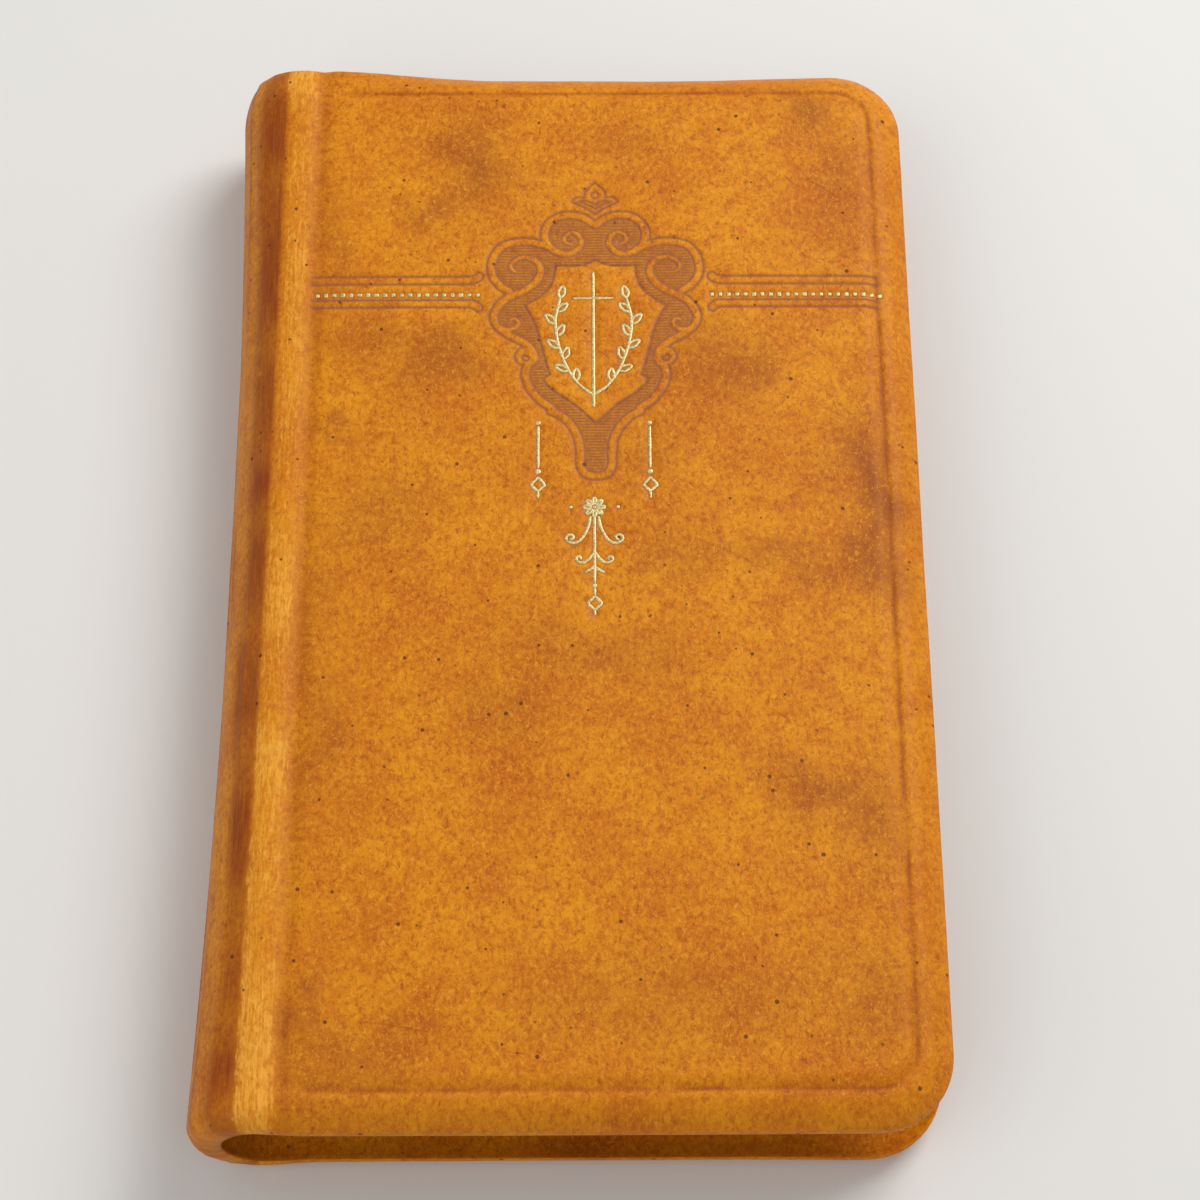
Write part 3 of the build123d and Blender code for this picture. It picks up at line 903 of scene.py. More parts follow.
TAN_BRIGHT = colour(221, 138, 8)
TAN_DEEP = colour(195, 102, 6)
TAN_PALE = colour(236, 164, 36)
STAIN_BROWN = colour(146, 66, 10)
# BAND_BROWN is also the colour of the painted shade in the board's crease
BAND_BROWN = colour(142, 58, 4)
# the pale of rubbed leather and of pale flecks, and of the painted highlight on the board's edge
PALE_WEAR_AND_HIGHLIGHT = colour(243, 174, 62)
FRESH_TAN = colour(206, 120, 16)
LINE_MAUVE = colour(142, 84, 58)
GROUND_BROWN = colour(150, 88, 42)


def hide_material():
    """Tan calf: mottled and speckled, stained, rubbed pale on the ridge, darkened by the tools; with
    painted shade in the board's crease and a painted highlight on the board's edge.
    """
    material, tree, shader = new_material("tan_calf")
    place = attribute(tree, "lie", "Vector")
    grain = use_group(tree, HIDE_GRAIN, {"Place": place, "Fineness": 1.0})
    streaks = use_group(tree, RAGGED_STREAKS, {"Place": place, "Amount": attribute(tree, "wear_and_highlight"),
                                             "Raggedness": 0.36})
    stain = math_node(tree, "MULTIPLY", attribute(tree, "stain"),
                      fit(tree, grain["Speckle"], 0.25, 0.75, 0.6, 1.3), clamp=True)
    shade = mix(tree, grain["Cloud"], TAN_DEEP, TAN_BRIGHT)
    shade = mix(tree, fit(tree, grain["Mottle"], 0.65, 0.0, 0.0, 0.6), shade, TAN_DEEP)
    shade = mix(tree, stain, shade, STAIN_BROWN)
    shade = mix(tree, fit(tree, grain["Speckle"], 0.52, 0.33, 0.0, 0.8), shade, STAIN_BROWN)
    shade = mix(tree, fit(tree, grain["Speckle"], 0.5, 0.66, 0.0, 0.55), shade, TAN_PALE)
    shade = mix(tree, math_node(tree, "MULTIPLY", grain["Flecks"], 0.4), shade, PALE_WEAR_AND_HIGHLIGHT)
    # dark: the band, the spine's creases and the scratches, and painted shade in the board's crease
    dark = math_node(tree, "MULTIPLY", attribute(tree, "dark"),
                     fit(tree, streaks["Lines"], 0.3, 0.7, 0.8, 1.15), clamp=True)
    shade = mix(tree, dark, shade, BAND_BROWN)
    # pale rubbing, together with the painted highlight on the board's edge
    shade = mix(tree, math_node(tree, "MULTIPLY", attribute(tree, "wear_and_highlight"), 0.5), shade, FRESH_TAN)
    shade = mix(tree, math_node(tree, "MULTIPLY", streaks["Mask"], 0.85), shade, PALE_WEAR_AND_HIGHLIGHT)
    shade = mix(tree, math_node(tree, "MULTIPLY", attribute(tree, "ground"), 0.95), shade,
                GROUND_BROWN)
    shade = mix(tree, math_node(tree, "MULTIPLY", attribute(tree, "line"), 0.9), shade, LINE_MAUVE)
    shade = mix(tree, math_node(tree, "MULTIPLY", grain["Pores"], 0.8), shade, colour(70, 34, 16))
    tree.links.new(shade, shader.inputs["Base Color"])
    polish = fit(tree, grain["Speckle"], 0.3, 0.7, 0.42, 0.6)
    polish = math_node(tree, "ADD", polish, math_node(tree, "MULTIPLY", streaks["Mask"], 0.12))
    tree.links.new(polish, shader.inputs["Roughness"])
    shader.inputs["Specular IOR Level"].default_value = 0.17
    bump_normal(tree, shader, grain["Height"], 0.4, 0.00012)
    return material


def gilt_material():
    """Pale gold leaf, rubbed through to the leather in places."""
    material, tree, shader = new_material("gold_leaf")
    place = add(tree, "ShaderNodeTexCoord").outputs["Object"]
    worn = fit(tree, noise(tree, place, 700.0, 4, 0.7), 0.36, 0.3)
    tone = noise(tree, place, 3500.0, 3, 0.7)
    leaf = mix(tree, fit(tree, tone, 0.3, 0.7), colour(176, 150, 84), colour(232, 216, 158))
    tree.links.new(mix(tree, worn, leaf, colour(168, 98, 34)), shader.inputs["Base Color"])
    tree.links.new(fit(tree, worn, 0.0, 1.0, 0.45, 0.0), shader.inputs["Metallic"])
    tree.links.new(fit(tree, tone, 0.2, 0.8, 0.35, 0.6), shader.inputs["Roughness"])
    bump_normal(tree, shader, tone, 0.3, 0.00005)
    return material


def paper_material(name, tone, foxing, bends=False, single_leaves=False):
    """Old paper; a sheet that bends carries its own places, and single leaves differ in tone."""
    material, tree, shader = new_material(name)
    if bends:
        place = attribute(tree, "lie", "Vector")
    else:
        place = add(tree, "ShaderNodeTexCoord").outputs["Object"]
    fibre = use_group(tree, PAPER_FIBRE, {"Place": place})
    shade = mix(tree, fit(tree, fibre["Cloud"], 0.3, 0.7, 0.0, 0.6), tone, colour(206, 184, 140))
    shade = mix(tree, math_node(tree, "MULTIPLY", fibre["Foxing"], foxing), shade,
                colour(160, 112, 62))
    height = fibre["Fibre"]
    if single_leaves:
        age = fit(tree, attribute(tree, "leaf"), 0.0, 1.0, 0.0, 0.55)
        shade = mix(tree, age, shade, colour(176, 142, 92))
        dust = noise(tree, stretched(tree, place, (90.0, 90.0, 700.0)), 1.0, 4, 0.7)
        shade = mix(tree, fit(tree, dust, 0.5, 0.72, 0.0, 0.5), shade, colour(150, 116, 70))
    tree.links.new(shade, shader.inputs["Base Color"])
    tree.links.new(fit(tree, fibre["Fibre"], 0.2, 0.8, 0.8, 0.95), shader.inputs["Roughness"])
    shader.inputs["Specular IOR Level"].default_value = 0.2
    bump_normal(tree, shader, height, 0.3, 0.00005)
    return material


def card_material():
    """Grey-brown pasteboard with flecks of fibre."""
    material, tree, shader = new_material("pasteboard")
    place = add(tree, "ShaderNodeTexCoord").outputs["Object"]
    fibre = use_group(tree, PAPER_FIBRE, {"Place": place})
    shade = mix(tree, fit(tree, fibre["Fibre"], 0.35, 0.65), colour(150, 130, 100),
                colour(176, 158, 128))
    tree.links.new(shade, shader.inputs["Base Color"])
    tree.links.new(fit(tree, fibre["Cloud"], 0.2, 0.8, 0.85, 0.95), shader.inputs["Roughness"])
    bump_normal(tree, shader, fibre["Fibre"], 0.5, 0.0001)
    return material


def mull_material():
    """Open starched cloth, darkened by glue."""
    material, tree, shader = new_material("glued_mull")
    place = add(tree, "ShaderNodeTexCoord").outputs["Object"]
    weave = use_group(tree, PLAIN_WEAVE, {"Place": place, "Threads": 1100.0})
    shade = mix(tree, fit(tree, weave["Height"], 0.5, 0.95), colour(120, 88, 48),
                colour(206, 190, 152))
    tree.links.new(mix(tree, fit(tree, weave["Wear"], 0.4, 0.7, 0, 0.4), shade,
                       colour(150, 110, 60)), shader.inputs["Base Color"])
    shader.inputs["Roughness"].default_value = 0.85
    bump_normal(tree, shader, weave["Height"], 0.8, 0.0001)
    return material


def silk_material():
    """Two silks, told apart by each turn's own number, with a fine twist."""
    material, tree, shader = new_material("headband_silk")
    place = add(tree, "ShaderNodeTexCoord").outputs["Object"]
    shade = mix(tree, attribute(tree, "silk"), colour(214, 200, 158), colour(134, 48, 32))
    dirt = noise(tree, place, 900.0, 3)
    tree.links.new(mix(tree, fit(tree, dirt, 0.4, 0.75, 0, 0.45), shade, colour(110, 84, 52)),
                   shader.inputs["Base Color"])
    shader.inputs["Roughness"].default_value = 0.55
    shader.inputs["Sheen Weight"].default_value = 0.3
    bump_normal(tree, shader, noise(tree, place, 6000.0, 2), 0.4, 0.00005)
    return material


LEATHER = hide_material()
GILT = gilt_material()
EDGE_PAPER = paper_material("page_edges", colour(228, 210, 168), 0.25, single_leaves=True)
END_PAPER = paper_material("loose_endpaper", colour(224, 208, 172), 0.7)
GLUED_PAPER = paper_material("glued_endpaper", colour(224, 208, 172), 0.7, bends=True)
CARD = card_material()
MULL = mull_material()
SILK = silk_material()


# ---- What repeats: trees that lay leaves, threads and gilt ----
def geometry_tree(name, inputs):
    """An empty tree with a geometry in and out, and named inputs."""
    tree = bpy.data.node_groups.new(name, "GeometryNodeTree")
    tree.interface.new_socket("Geometry", in_out="INPUT", socket_type="NodeSocketGeometry")
    for label, kind in inputs + [("Finish", "Material")]:
        tree.interface.new_socket(label, in_out="INPUT", socket_type="NodeSocket" + kind)
    tree.interface.new_socket("Geometry", in_out="OUTPUT", socket_type="NodeSocketGeometry")
    return tree, tree.nodes.new("NodeGroupInput").outputs, tree.nodes.new("NodeGroupOutput").inputs


def end_tree(tree, given, out, geometry):
    """The last nodes of every tree: real faces in the finish given."""
    real = add(tree, "GeometryNodeRealizeInstances", {"Geometry": geometry}).outputs[0]
    made = add(tree, "GeometryNodeSetMaterial", {"Geometry": real, "Material": given["Finish"]})
    tree.links.new(made.outputs[0], out["Geometry"])
    return tree


def grow(name, start, tree, values):
    """The tree's result on the start object, as a plain mesh in an object of its own."""
    modifier = start.modifiers.new(name, "NODES")
    modifier.node_group = tree
    for item in tree.interface.items_tree:
        if item.in_out == "INPUT" and item.name in values:
            modifier[item.identifier] = values[item.name]
    graph = bpy.context.evaluated_depsgraph_get()
    mesh = bpy.data.meshes.new_from_object(start.evaluated_get(graph))
    bpy.data.objects.remove(start)
    made = bpy.data.objects.new(name, mesh)
    bpy.context.scene.collection.objects.link(made)
    return made


def soft(tree, geometry):
    return add(tree, "GeometryNodeSetShadeSmooth", {"Geometry": geometry}).outputs[0]


def random_number(tree, low, high, seed):
    made = add(tree, "FunctionNodeRandomValue", {2: low, 3: high, "Seed": seed}, data_type="FLOAT")
    return made.outputs[1]


def number_copies(tree, instances, name, value):
    """The instances with a number of their own stored under a name."""
    made = add(tree, "GeometryNodeStoreNamedAttribute",
               {"Geometry": instances, "Name": name, "Value": value},
               data_type="FLOAT", domain="INSTANCE")
    return made.outputs[0]


def leaf_stack_tree():
    """Copies of a leaf in a stack whose back is round and whose front is hollow."""
    tree, given, out = geometry_tree("leaf_stack", [
        ("Leaves", "Int"), ("Low", "Float"), ("High", "Float"), ("Back Radius", "Float"),
        ("Shuffle", "Float"), ("Gathering", "Int"), ("Seed", "Int")])
    ends = [add(tree, "ShaderNodeCombineXYZ", {"Z": given[key]}).outputs[0]
            for key in ("Low", "High")]
    row = add(tree, "GeometryNodeMeshLine", {"Count": given["Leaves"], 2: ends[0], 3: ends[1]},
              mode="END_POINTS").outputs[0]
    place = add(tree, "GeometryNodeInputPosition").outputs[0]
    height = add(tree, "ShaderNodeSeparateXYZ", {0: place}).outputs["Z"]
    middle = math_node(tree, "MULTIPLY", math_node(tree, "ADD", given["Low"], given["High"]), 0.5)
    reach = math_node(tree, "SUBTRACT", given["High"], middle)
    square = math_node(tree, "POWER", given["Back Radius"], 2.0)

    def arc(rise):
        return math_node(tree, "SQRT", math_node(tree, "SUBTRACT", square,
                                                 math_node(tree, "POWER", rise, 2.0)))

    shift = math_node(tree, "SUBTRACT", arc(reach), arc(math_node(tree, "SUBTRACT", height, middle)))
    low = math_node(tree, "MULTIPLY", given["Shuffle"], -1.0)
    across = random_number(tree, low, given["Shuffle"], given["Seed"])
    along = random_number(tree, low, given["Shuffle"], math_node(tree, "ADD", given["Seed"], 1.0))
    index = add(tree, "GeometryNodeInputIndex").outputs[0]
    first = math_node(tree, "LESS_THAN", math_node(tree, "MODULO", index, given["Gathering"]), 1.0)
    across = math_node(tree, "SUBTRACT", across, math_node(tree, "MULTIPLY", first, given["Shuffle"]))
    offset = add(tree, "ShaderNodeCombineXYZ", {"X": math_node(tree, "ADD", shift, across),
                                                "Y": along}).outputs[0]
    stack = add(tree, "GeometryNodeSetPosition", {"Geometry": row, "Offset": offset}).outputs[0]
    leaves = add(tree, "GeometryNodeInstanceOnPoints", {"Points": stack,
                                                        "Instance": given["Geometry"]}).outputs[0]
    tone = random_number(tree, 0.0, 1.0, math_node(tree, "ADD", given["Seed"], 2.0))
    return end_tree(tree, given, out, number_copies(tree, leaves, "leaf", tone))


def silk_turns_tree():
    """Rings of thread side by side along a path, in groups of two colours."""
    tree, given, out = geometry_tree("silk_turns", [
        ("Turns", "Int"), ("Core Radius", "Float"), ("Thread Radius", "Float"), ("Group", "Float")])
    path = add(tree, "GeometryNodeMeshToCurve", {"Mesh": given["Geometry"]}).outputs[0]
    spots = add(tree, "GeometryNodeCurveToPoints", {"Curve": path, "Count": given["Turns"]},
                mode="COUNT").outputs
    ring = add(tree, "GeometryNodeCurvePrimitiveCircle", {"Resolution": 14,
                                                          "Radius": given["Core Radius"]}).outputs[0]
    round_thread = add(tree, "GeometryNodeCurvePrimitiveCircle",
                       {"Resolution": 6, "Radius": given["Thread Radius"]}).outputs[0]
    turn = add(tree, "GeometryNodeCurveToMesh", {"Curve": ring,
                                                 "Profile Curve": round_thread}).outputs[0]
    turns = add(tree, "GeometryNodeInstanceOnPoints", {
        "Points": spots["Points"], "Instance": soft(tree, turn),
        "Rotation": spots["Rotation"]}).outputs[0]
    index = add(tree, "GeometryNodeInputIndex").outputs[0]
    half = math_node(tree, "DIVIDE", index, given["Group"])
    odd = math_node(tree, "MODULO", math_node(tree, "FLOOR", half), 2.0)
    return end_tree(tree, given, out, number_copies(tree, turns, "silk", odd))


def gilt_stroke_tree():
    """Flat strokes of leaf along paths; each point's own swell scales the width."""
    tree, given, out = geometry_tree("gilt_stroke", [("Half Width", "Float"), ("Flatness", "Float")])
    path = add(tree, "GeometryNodeMeshToCurve", {"Mesh": given["Geometry"]}).outputs[0]
    upright = add(tree, "GeometryNodeSetCurveNormal", {"Curve": path}, mode="Z_UP").outputs[0]
    profile = add(tree, "GeometryNodeCurvePrimitiveCircle", {"Resolution": 8,
                                                             "Radius": given["Half Width"]}).outputs[0]
    flat = add(tree, "ShaderNodeCombineXYZ", {"X": 1.0, "Y": given["Flatness"], "Z": 1.0}).outputs[0]
    profile = add(tree, "GeometryNodeTransform", {"Geometry": profile, "Scale": flat}).outputs[0]
    swell = add(tree, "GeometryNodeInputNamedAttribute", {"Name": "swell"},
                data_type="FLOAT").outputs[0]
    stroke = add(tree, "GeometryNodeCurveToMesh", {"Curve": upright, "Profile Curve": profile,
                                                   "Scale": swell, "Fill Caps": True}).outputs[0]
    return end_tree(tree, given, out, soft(tree, stroke))


def gilt_stud_tree():
    """A low domed stud of leaf on each point, square or round, as wide as its own swell."""
    tree, given, out = geometry_tree("gilt_stud", [
        ("Square", "Bool"), ("Flatness", "Float"), ("Unevenness", "Float"), ("Seed", "Int")])
    block = add(tree, "GeometryNodeMeshCube", {"Size": (2.1, 2.1, 2.0), "Vertices X": 4,
                                               "Vertices Y": 4, "Vertices Z": 2}).outputs[0]
    pillow = add(tree, "GeometryNodeSubdivisionSurface", {"Mesh": block, "Level": 1}).outputs[0]
    disc = add(tree, "GeometryNodeMeshUVSphere", {"Segments": 12, "Rings": 8,
                                                  "Radius": 1.0}).outputs[0]
    shape = add(tree, "GeometryNodeSwitch", {"Switch": given["Square"], "False": disc,
                                             "True": pillow}, input_type="GEOMETRY").outputs[0]
    swell = add(tree, "GeometryNodeInputNamedAttribute", {"Name": "swell"},
                data_type="FLOAT").outputs[0]
    least = math_node(tree, "SUBTRACT", 1.0, given["Unevenness"])
    sides = [math_node(tree, "MULTIPLY", swell, random_number(tree, least, 1.0, math_node(
        tree, "ADD", given["Seed"], float(k)))) for k in range(2)]
    scale = add(tree, "ShaderNodeCombineXYZ", {
        "X": sides[0], "Y": sides[1], "Z": math_node(tree, "MULTIPLY", swell,
                                                     given["Flatness"])}).outputs[0]
    turn = add(tree, "ShaderNodeCombineXYZ", {"Z": random_number(
        tree, -0.15, 0.15, math_node(tree, "ADD", given["Seed"], 2.0))}).outputs[0]
    studs = add(tree, "GeometryNodeInstanceOnPoints", {
        "Points": given["Geometry"], "Instance": soft(tree, shape), "Rotation": turn,
        "Scale": scale}).outputs[0]
    return end_tree(tree, given, out, studs)


# ---- The hide as meshes ----
def skin_values(u, v, outer, marks, stains, seed):
    """What the leather's material reads at each point of a skin."""
    inset = inset_of(u, v)
    if not outer:
        none = np.zeros(len(u))
        return {"wear_and_highlight": 0.3 * smooth(1.5, 0, inset), "dark": 0.25 * smooth(6, 9, inset),
                "stain": 0.5 * np.abs(drift(u, v, 9, seed + 30)), "line": none, "ground": none}
    return {"wear_and_highlight": wear_and_highlight_map(u, v, inset, seed + 10), "dark": dark_map(u, v, seed + 14),
            "stain": stain_map(u, v, stains, seed + 20),
            "line": np.clip(marks[1] + 0.35 * marks[3], 0, 1), "ground": marks[2]}


def edge_rings(outer_rim, inner_rim, swell):
    """Rings of points that carry the folded edge from the outer skin round to the inner one."""
    middle, arm = (outer_rim + inner_rim) / 2, (outer_rim - inner_rim) / 2
    turns = np.linspace(0, math.pi, 7)[1:-1]
    return [middle + arm * math.cos(t) + swell * math.sin(t) for t in turns]


def hide_half(name, side, stains, seed, tooled):
    """One cover's leather with its half of the spine: outer skin, folded edge and turn-in."""
    loop, facing = hide_outline(0.8)
    plain = plain_points(loop, 0.9, OUTER_RIM_ROWS,
                         0.45)
    extra = np.zeros((0, 2))
    if tooled:
        scratches = [beside(path, gap) for path in scratch_paths()
                     for gap in (-0.3, -SCRATCH_HALF, 0, SCRATCH_HALF, 0.3)]
        extra = np.vstack([tooling_points(), *scratches])
        extra = extra[inset_of(extra[:, 0], extra[:, 1]) > 0.5]
    plain = thin_out(np.vstack([loop, extra]), plain, 0.28)
    flat, outer_faces = triangulate(np.vstack([loop, extra, plain]))
    u, v = flat.T
    marks = tooling_marks(u, v) if tooled else np.zeros((4, len(u)))
    scratched = scratch_map(u, v) if tooled else np.zeros(len(u))
    outer = lay_out(u, v, hide_offset(u, v, seed) - marks[0] - SCRATCH_DEPTH * scratched, side)

    inner_plain = plain_points(loop, 2.0, (0.6, 1.4, 2.4, 3.4, 4.0, 4.4, 5.0, 7.0), 0.8)
    inner_plain = np.vstack([inner_plain, *window_rows()])
    inner_plain = thin_out(loop, inner_plain, 0.28)
    inner_flat, inner_faces = triangulate(np.vstack([loop, inner_plain]))
    iu, iv = inner_flat.T
    inner = lay_out(iu, iv, inner_offset(iu, iv, seed), side)

    rim_u, rim_v = loop.T
    back = loop - 0.05 * facing
    outer_rim = lay_out(rim_u, rim_v, hide_offset(rim_u, rim_v, seed), side)
    inner_rim = lay_out(rim_u, rim_v, inner_offset(rim_u, rim_v, seed), side)
    run = outer_rim - lay_out(back[:, 0], back[:, 1], hide_offset(*back.T, seed), side)
    swell = EDGE_ROLL * run / np.maximum(np.linalg.norm(run, axis=1), 1e-9)[:, None]
    rings = edge_rings(outer_rim, inner_rim, swell)

    find_outer = match_points(flat, loop)
    find_inner = match_points(inner_flat, loop) + len(outer)
    start = len(outer) + len(inner)
    count = len(loop)
    chain = [find_outer] + [start + k * count + np.arange(count) for k in range(len(rings))]
    chain.append(find_inner)
    strips = []
    for near, far in zip(chain, chain[1:]):
        strips.append(np.column_stack([near, far, np.roll(far, -1), np.roll(near, -1)]))
    faces = [tuple(f) for f in outer_faces]
    faces += [tuple(f[::-1] + len(outer)) for f in inner_faces]
    faces += [tuple(f) for strip in strips for f in strip]
    if side < 0:
        faces = [f[::-1] for f in faces]
    points = np.vstack([outer, inner, *rings])

    all_u = np.concatenate([u, iu, np.tile(rim_u, len(rings))])
    all_v = np.concatenate([v, iv, np.tile(rim_v, len(rings))])
    depth = np.concatenate([np.zeros(len(u)), np.full(len(iu), 3.0),
                            np.repeat(np.arange(1, len(rings) + 1) * 0.4, count)])
    values = skin_values(u, v, True, marks, stains, seed)
    values["dark"] = np.maximum(values["dark"], scratched)
    inner_values = skin_values(iu, iv, False, None, stains, seed)
    rim_values = skin_values(rim_u, rim_v, True, np.zeros((4, count)), stains, seed)
    joined = {key: np.concatenate([values[key], inner_values[key],
                                   np.tile(rim_values[key], len(rings))]) for key in values}
    lie_u = all_u if side > 0 else 2 * SEAM_U - all_u
    joined["lie"] = np.column_stack([lie_u, all_v, depth])
    seam = loop[:, 0] < SEAM_U + 0.01
    crisp = np.concatenate([find_outer[seam], find_inner[seam]])
    return make_mesh(name, points, faces, LEATHER, joined, crisp)


def window_rows():
    """Extra inner points along the turn-in's edge, where the pastedown steps over it."""
    for gap in (-0.4, 0.0, 0.3, 0.6):
        x, y = FORE_X - WINDOW_INSET - gap, HALF_HEIGHT - WINDOW_INSET - gap
        yield even_path([(HINGE_X, -y), (x, -y), (x, y), (HINGE_X, y)], 1.5)


def match_points(flat, wanted):
    """Where each wanted point is in flat."""
    keys = {(round(a, 3), round(b, 3)): i for i, (a, b) in enumerate(flat)}
    return np.array([keys[(round(a, 3), round(b, 3))] for a, b in wanted])


def bend_at_hinge(obj, body):
    """Bakes the piece's transform into its mesh; the piece is not bent at the hinge and does not turn
    with the cover.
    """
    bend_outwards(obj, body)


def bend_outwards(obj, body):
    """Bakes the piece's transform into its mesh; both branches do the same, so the body named changes
    nothing.
    """
    if body == "front_cover":
        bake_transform(obj)
    else:
        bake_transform(obj)


front_hide = hide_half("front_hide", 1, FRONT_STAINS, FRONT_SEED, True)
bend_at_hinge(front_hide, "front_cover")
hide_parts("front_leather", "spine_leather")

back_hide = hide_half("back_hide", -1, BACK_STAINS, BACK_SEED, False)
bend_at_hinge(back_hide, "back_cover")
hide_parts("back_leather", "spine_leather")


# ---- The gilt in its grooves ----
def gilt_height(places):
    """Where the leaf lies: a little over the floor of its groove."""
    u, v = places.T
    return TOP_Z + hide_offset(u, v, FRONT_SEED) - GILT_DEPTH + 0.03


def gilt_object(name, paths, swells):
    """The paths as bare edges in their grooves, with each point's own swell."""
    places = np.vstack(paths)
    points = np.column_stack([places, gilt_height(places)])
    edges, start = [], 0
    for path in paths:
        edges += [(start + k, start + k + 1) for k in range(len(path) - 1)]
        start += len(path)
    mesh = bpy.data.meshes.new(name)
    mesh.from_pydata((points * MM).tolist(), edges, [])
    mesh.attributes.new("swell", "FLOAT", "POINT").data.foreach_set("value", np.hstack(swells))
    obj = bpy.data.objects.new(name, mesh)
    bpy.context.scene.collection.objects.link(obj)
    return obj


def stroke_swell(path):
    """A stroke thins at its two ends and wavers a little between."""
    along = np.arange(len(path))
    from_end = np.minimum(along, along[::-1]) * 0.3
    return (0.6 + 0.4 * smooth(-0.1, 0.5, from_end)) * (1 + 0.16 * drift(*path.T, 0.8, 77))


def lay_gilt():
    centre = np.array([GILDING_X, TOOLING_Y])
    paths = [path + centre for path in gilt_strokes()]
    strokes = gilt_object("stroke_paths", paths, [stroke_swell(path) for path in paths])
    dots = np.array([place for place, _ in gilt_dots()]) + centre
    sizes = np.array([radius for _, radius in gilt_dots()])
    spots = gilt_object("dot_places", [dot[None] for dot in dots], [sizes * MM])
    studs = stud_places() + (TOOLING_X, TOOLING_Y)
    stud_spots = gilt_object("stud_places", [stud[None] for stud in studs],
                             [np.full(len(studs), STUD_SIZE / 2 * MM)])
    stud_tree = gilt_stud_tree()
    made = [
        grow("gilt_strokes", strokes, gilt_stroke_tree(), {
            "Half Width": GILT_HALF * MM, "Flatness": 0.25, "Finish": GILT}),
        grow("gilt_dots", spots, stud_tree, {
            "Square": False, "Flatness": 0.2, "Unevenness": 0.1, "Seed": 3, "Finish": GILT}),
        grow("gilt_studs", stud_spots, stud_tree, {
            "Square": True, "Flatness": 0.28, "Unevenness": 0.25, "Seed": 8, "Finish": GILT}),
    ]
    for piece in made:
        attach(piece, "front_cover")


lay_gilt()


# ---- The pages ----
def leaf_mesh():
    """One leaf with its two rounded corners, as thick as the tree's step needs."""
    arc = np.linspace(0, math.pi / 2, 8)
    x, y = PAGES_HIGH[0] - PAGE_CORNER, PAGES_HIGH[1] - PAGE_CORNER
    corner = np.column_stack([x + PAGE_CORNER * np.cos(arc), y + PAGE_CORNER * np.sin(arc)])
    half = np.vstack([corner, [(HINGE_X, PAGES_HIGH[1])]])
    plan = np.vstack([half, half[::-1] * (1, -1)])
    count = len(plan)
    rise = np.full(count, LEAF_THICKNESS / 2)
    points = np.vstack([np.column_stack([plan, -rise]), np.column_stack([plan, rise])])
    ring = np.arange(count)
    sides = np.column_stack([ring, np.roll(ring, -1), np.roll(ring, -1) + count, ring + count])
    faces = [tuple(ring[::-1]), tuple(ring + count)] + [tuple(side) for side in sides]
    leaf = make_mesh("single_leaf", points, faces)
    leaf.data.polygons.foreach_set("use_smooth", [False] * len(faces))
    return leaf


def stack_pages():
    inner = LEAF_THICKNESS / 2 + 0.01
    block = grow("page_block", leaf_mesh(), leaf_stack_tree(), {
        "Leaves": LEAF_COUNT, "Low": (PAGES_LOW[2] + inner) * MM,
        "High": (PAGES_HIGH[2] - inner) * MM, "Back Radius": PAGE_BACK_RADIUS * MM,
        "Shuffle": 0.13 * MM, "Gathering": 8, "Seed": 21, "Finish": EDGE_PAPER})
    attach(block, "block")
    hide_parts("pages")


stack_pages()


# ---- The headbands ----
def back_arc(radius, count):
    """Points round the back of the pages, from its low edge to its high one."""
    half_turn = math.acos((PAGE_BACK_X - HINGE_X - 0.1) / radius)
    turn = np.linspace(math.pi + half_turn, math.pi - half_turn, count)
    return np.column_stack([PAGE_BACK_X + radius * np.cos(turn), MID_Z + radius * np.sin(turn)])


def headband(name, node, end):
    """Silk turns over a core on the pages' end, and the tape that holds them."""
    radius = PAGE_BACK_RADIUS + TAPE - BEAD / 2
    arc = back_arc(radius, 40)
    points = np.column_stack([arc[:, 0], np.full(40, end * (PAGES_HIGH[1] + BEAD / 2)), arc[:, 1]])
    path = bpy.data.meshes.new(name + "_core")
    path.from_pydata((points * MM).tolist(), [(k, k + 1) for k in range(39)], [])
    start = bpy.data.objects.new(name + "_core", path)
    bpy.context.scene.collection.objects.link(start)
    turns = grow(name + "_turns", start, silk_turns_tree(), {
        "Turns": 44, "Core Radius": (BEAD / 2 - THREAD) * MM, "Thread Radius": THREAD * MM,
        "Group": 3.0, "Finish": SILK})
    rows = [PAGES_HIGH[1] + BEAD / 2, PAGES_HIGH[1], BAND_LOW[1]]
    tape_points = [(x, end * y, z) for y in rows
                   for layer in (0.02, TAPE) for x, z in back_arc(PAGE_BACK_RADIUS + layer, 24)]
    faces = tape_faces(len(rows), 24)
    if end < 0:
        faces = [face[::-1] for face in faces]
    tape = make_mesh(name + "_tape", tape_points, faces, SILK)
    for piece in (turns, tape):
        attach(piece, "block")
        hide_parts(node)


def tape_faces(row_count, count):
    """A closed strip: two layers of points in each row, rows in order."""
    def at(row, layer, k):
        return (row * 2 + layer) * count + k

    faces = []
    for row in range(row_count - 1):
        for k in range(count - 1):
            faces.append((at(row, 0, k), at(row, 0, k + 1), at(row + 1, 0, k + 1), at(row + 1, 0, k)))
            faces.append((at(row, 1, k), at(row + 1, 1, k), at(row + 1, 1, k + 1), at(row, 1, k + 1)))
        for k, flip in ((0, 1), (count - 1, -1)):
            faces.append((at(row, 0, k), at(row + 1, 0, k), at(row + 1, 1, k), at(row, 1, k))[::flip])
    for row, flip in ((0, 1), (row_count - 1, -1)):
        for k in range(count - 1):
            faces.append((at(row, 0, k), at(row, 1, k), at(row, 1, k + 1), at(row, 0, k + 1))[::flip])
    return faces


headband("head_band", "head_band", 1)
headband("tail_band", "tail_band", -1)


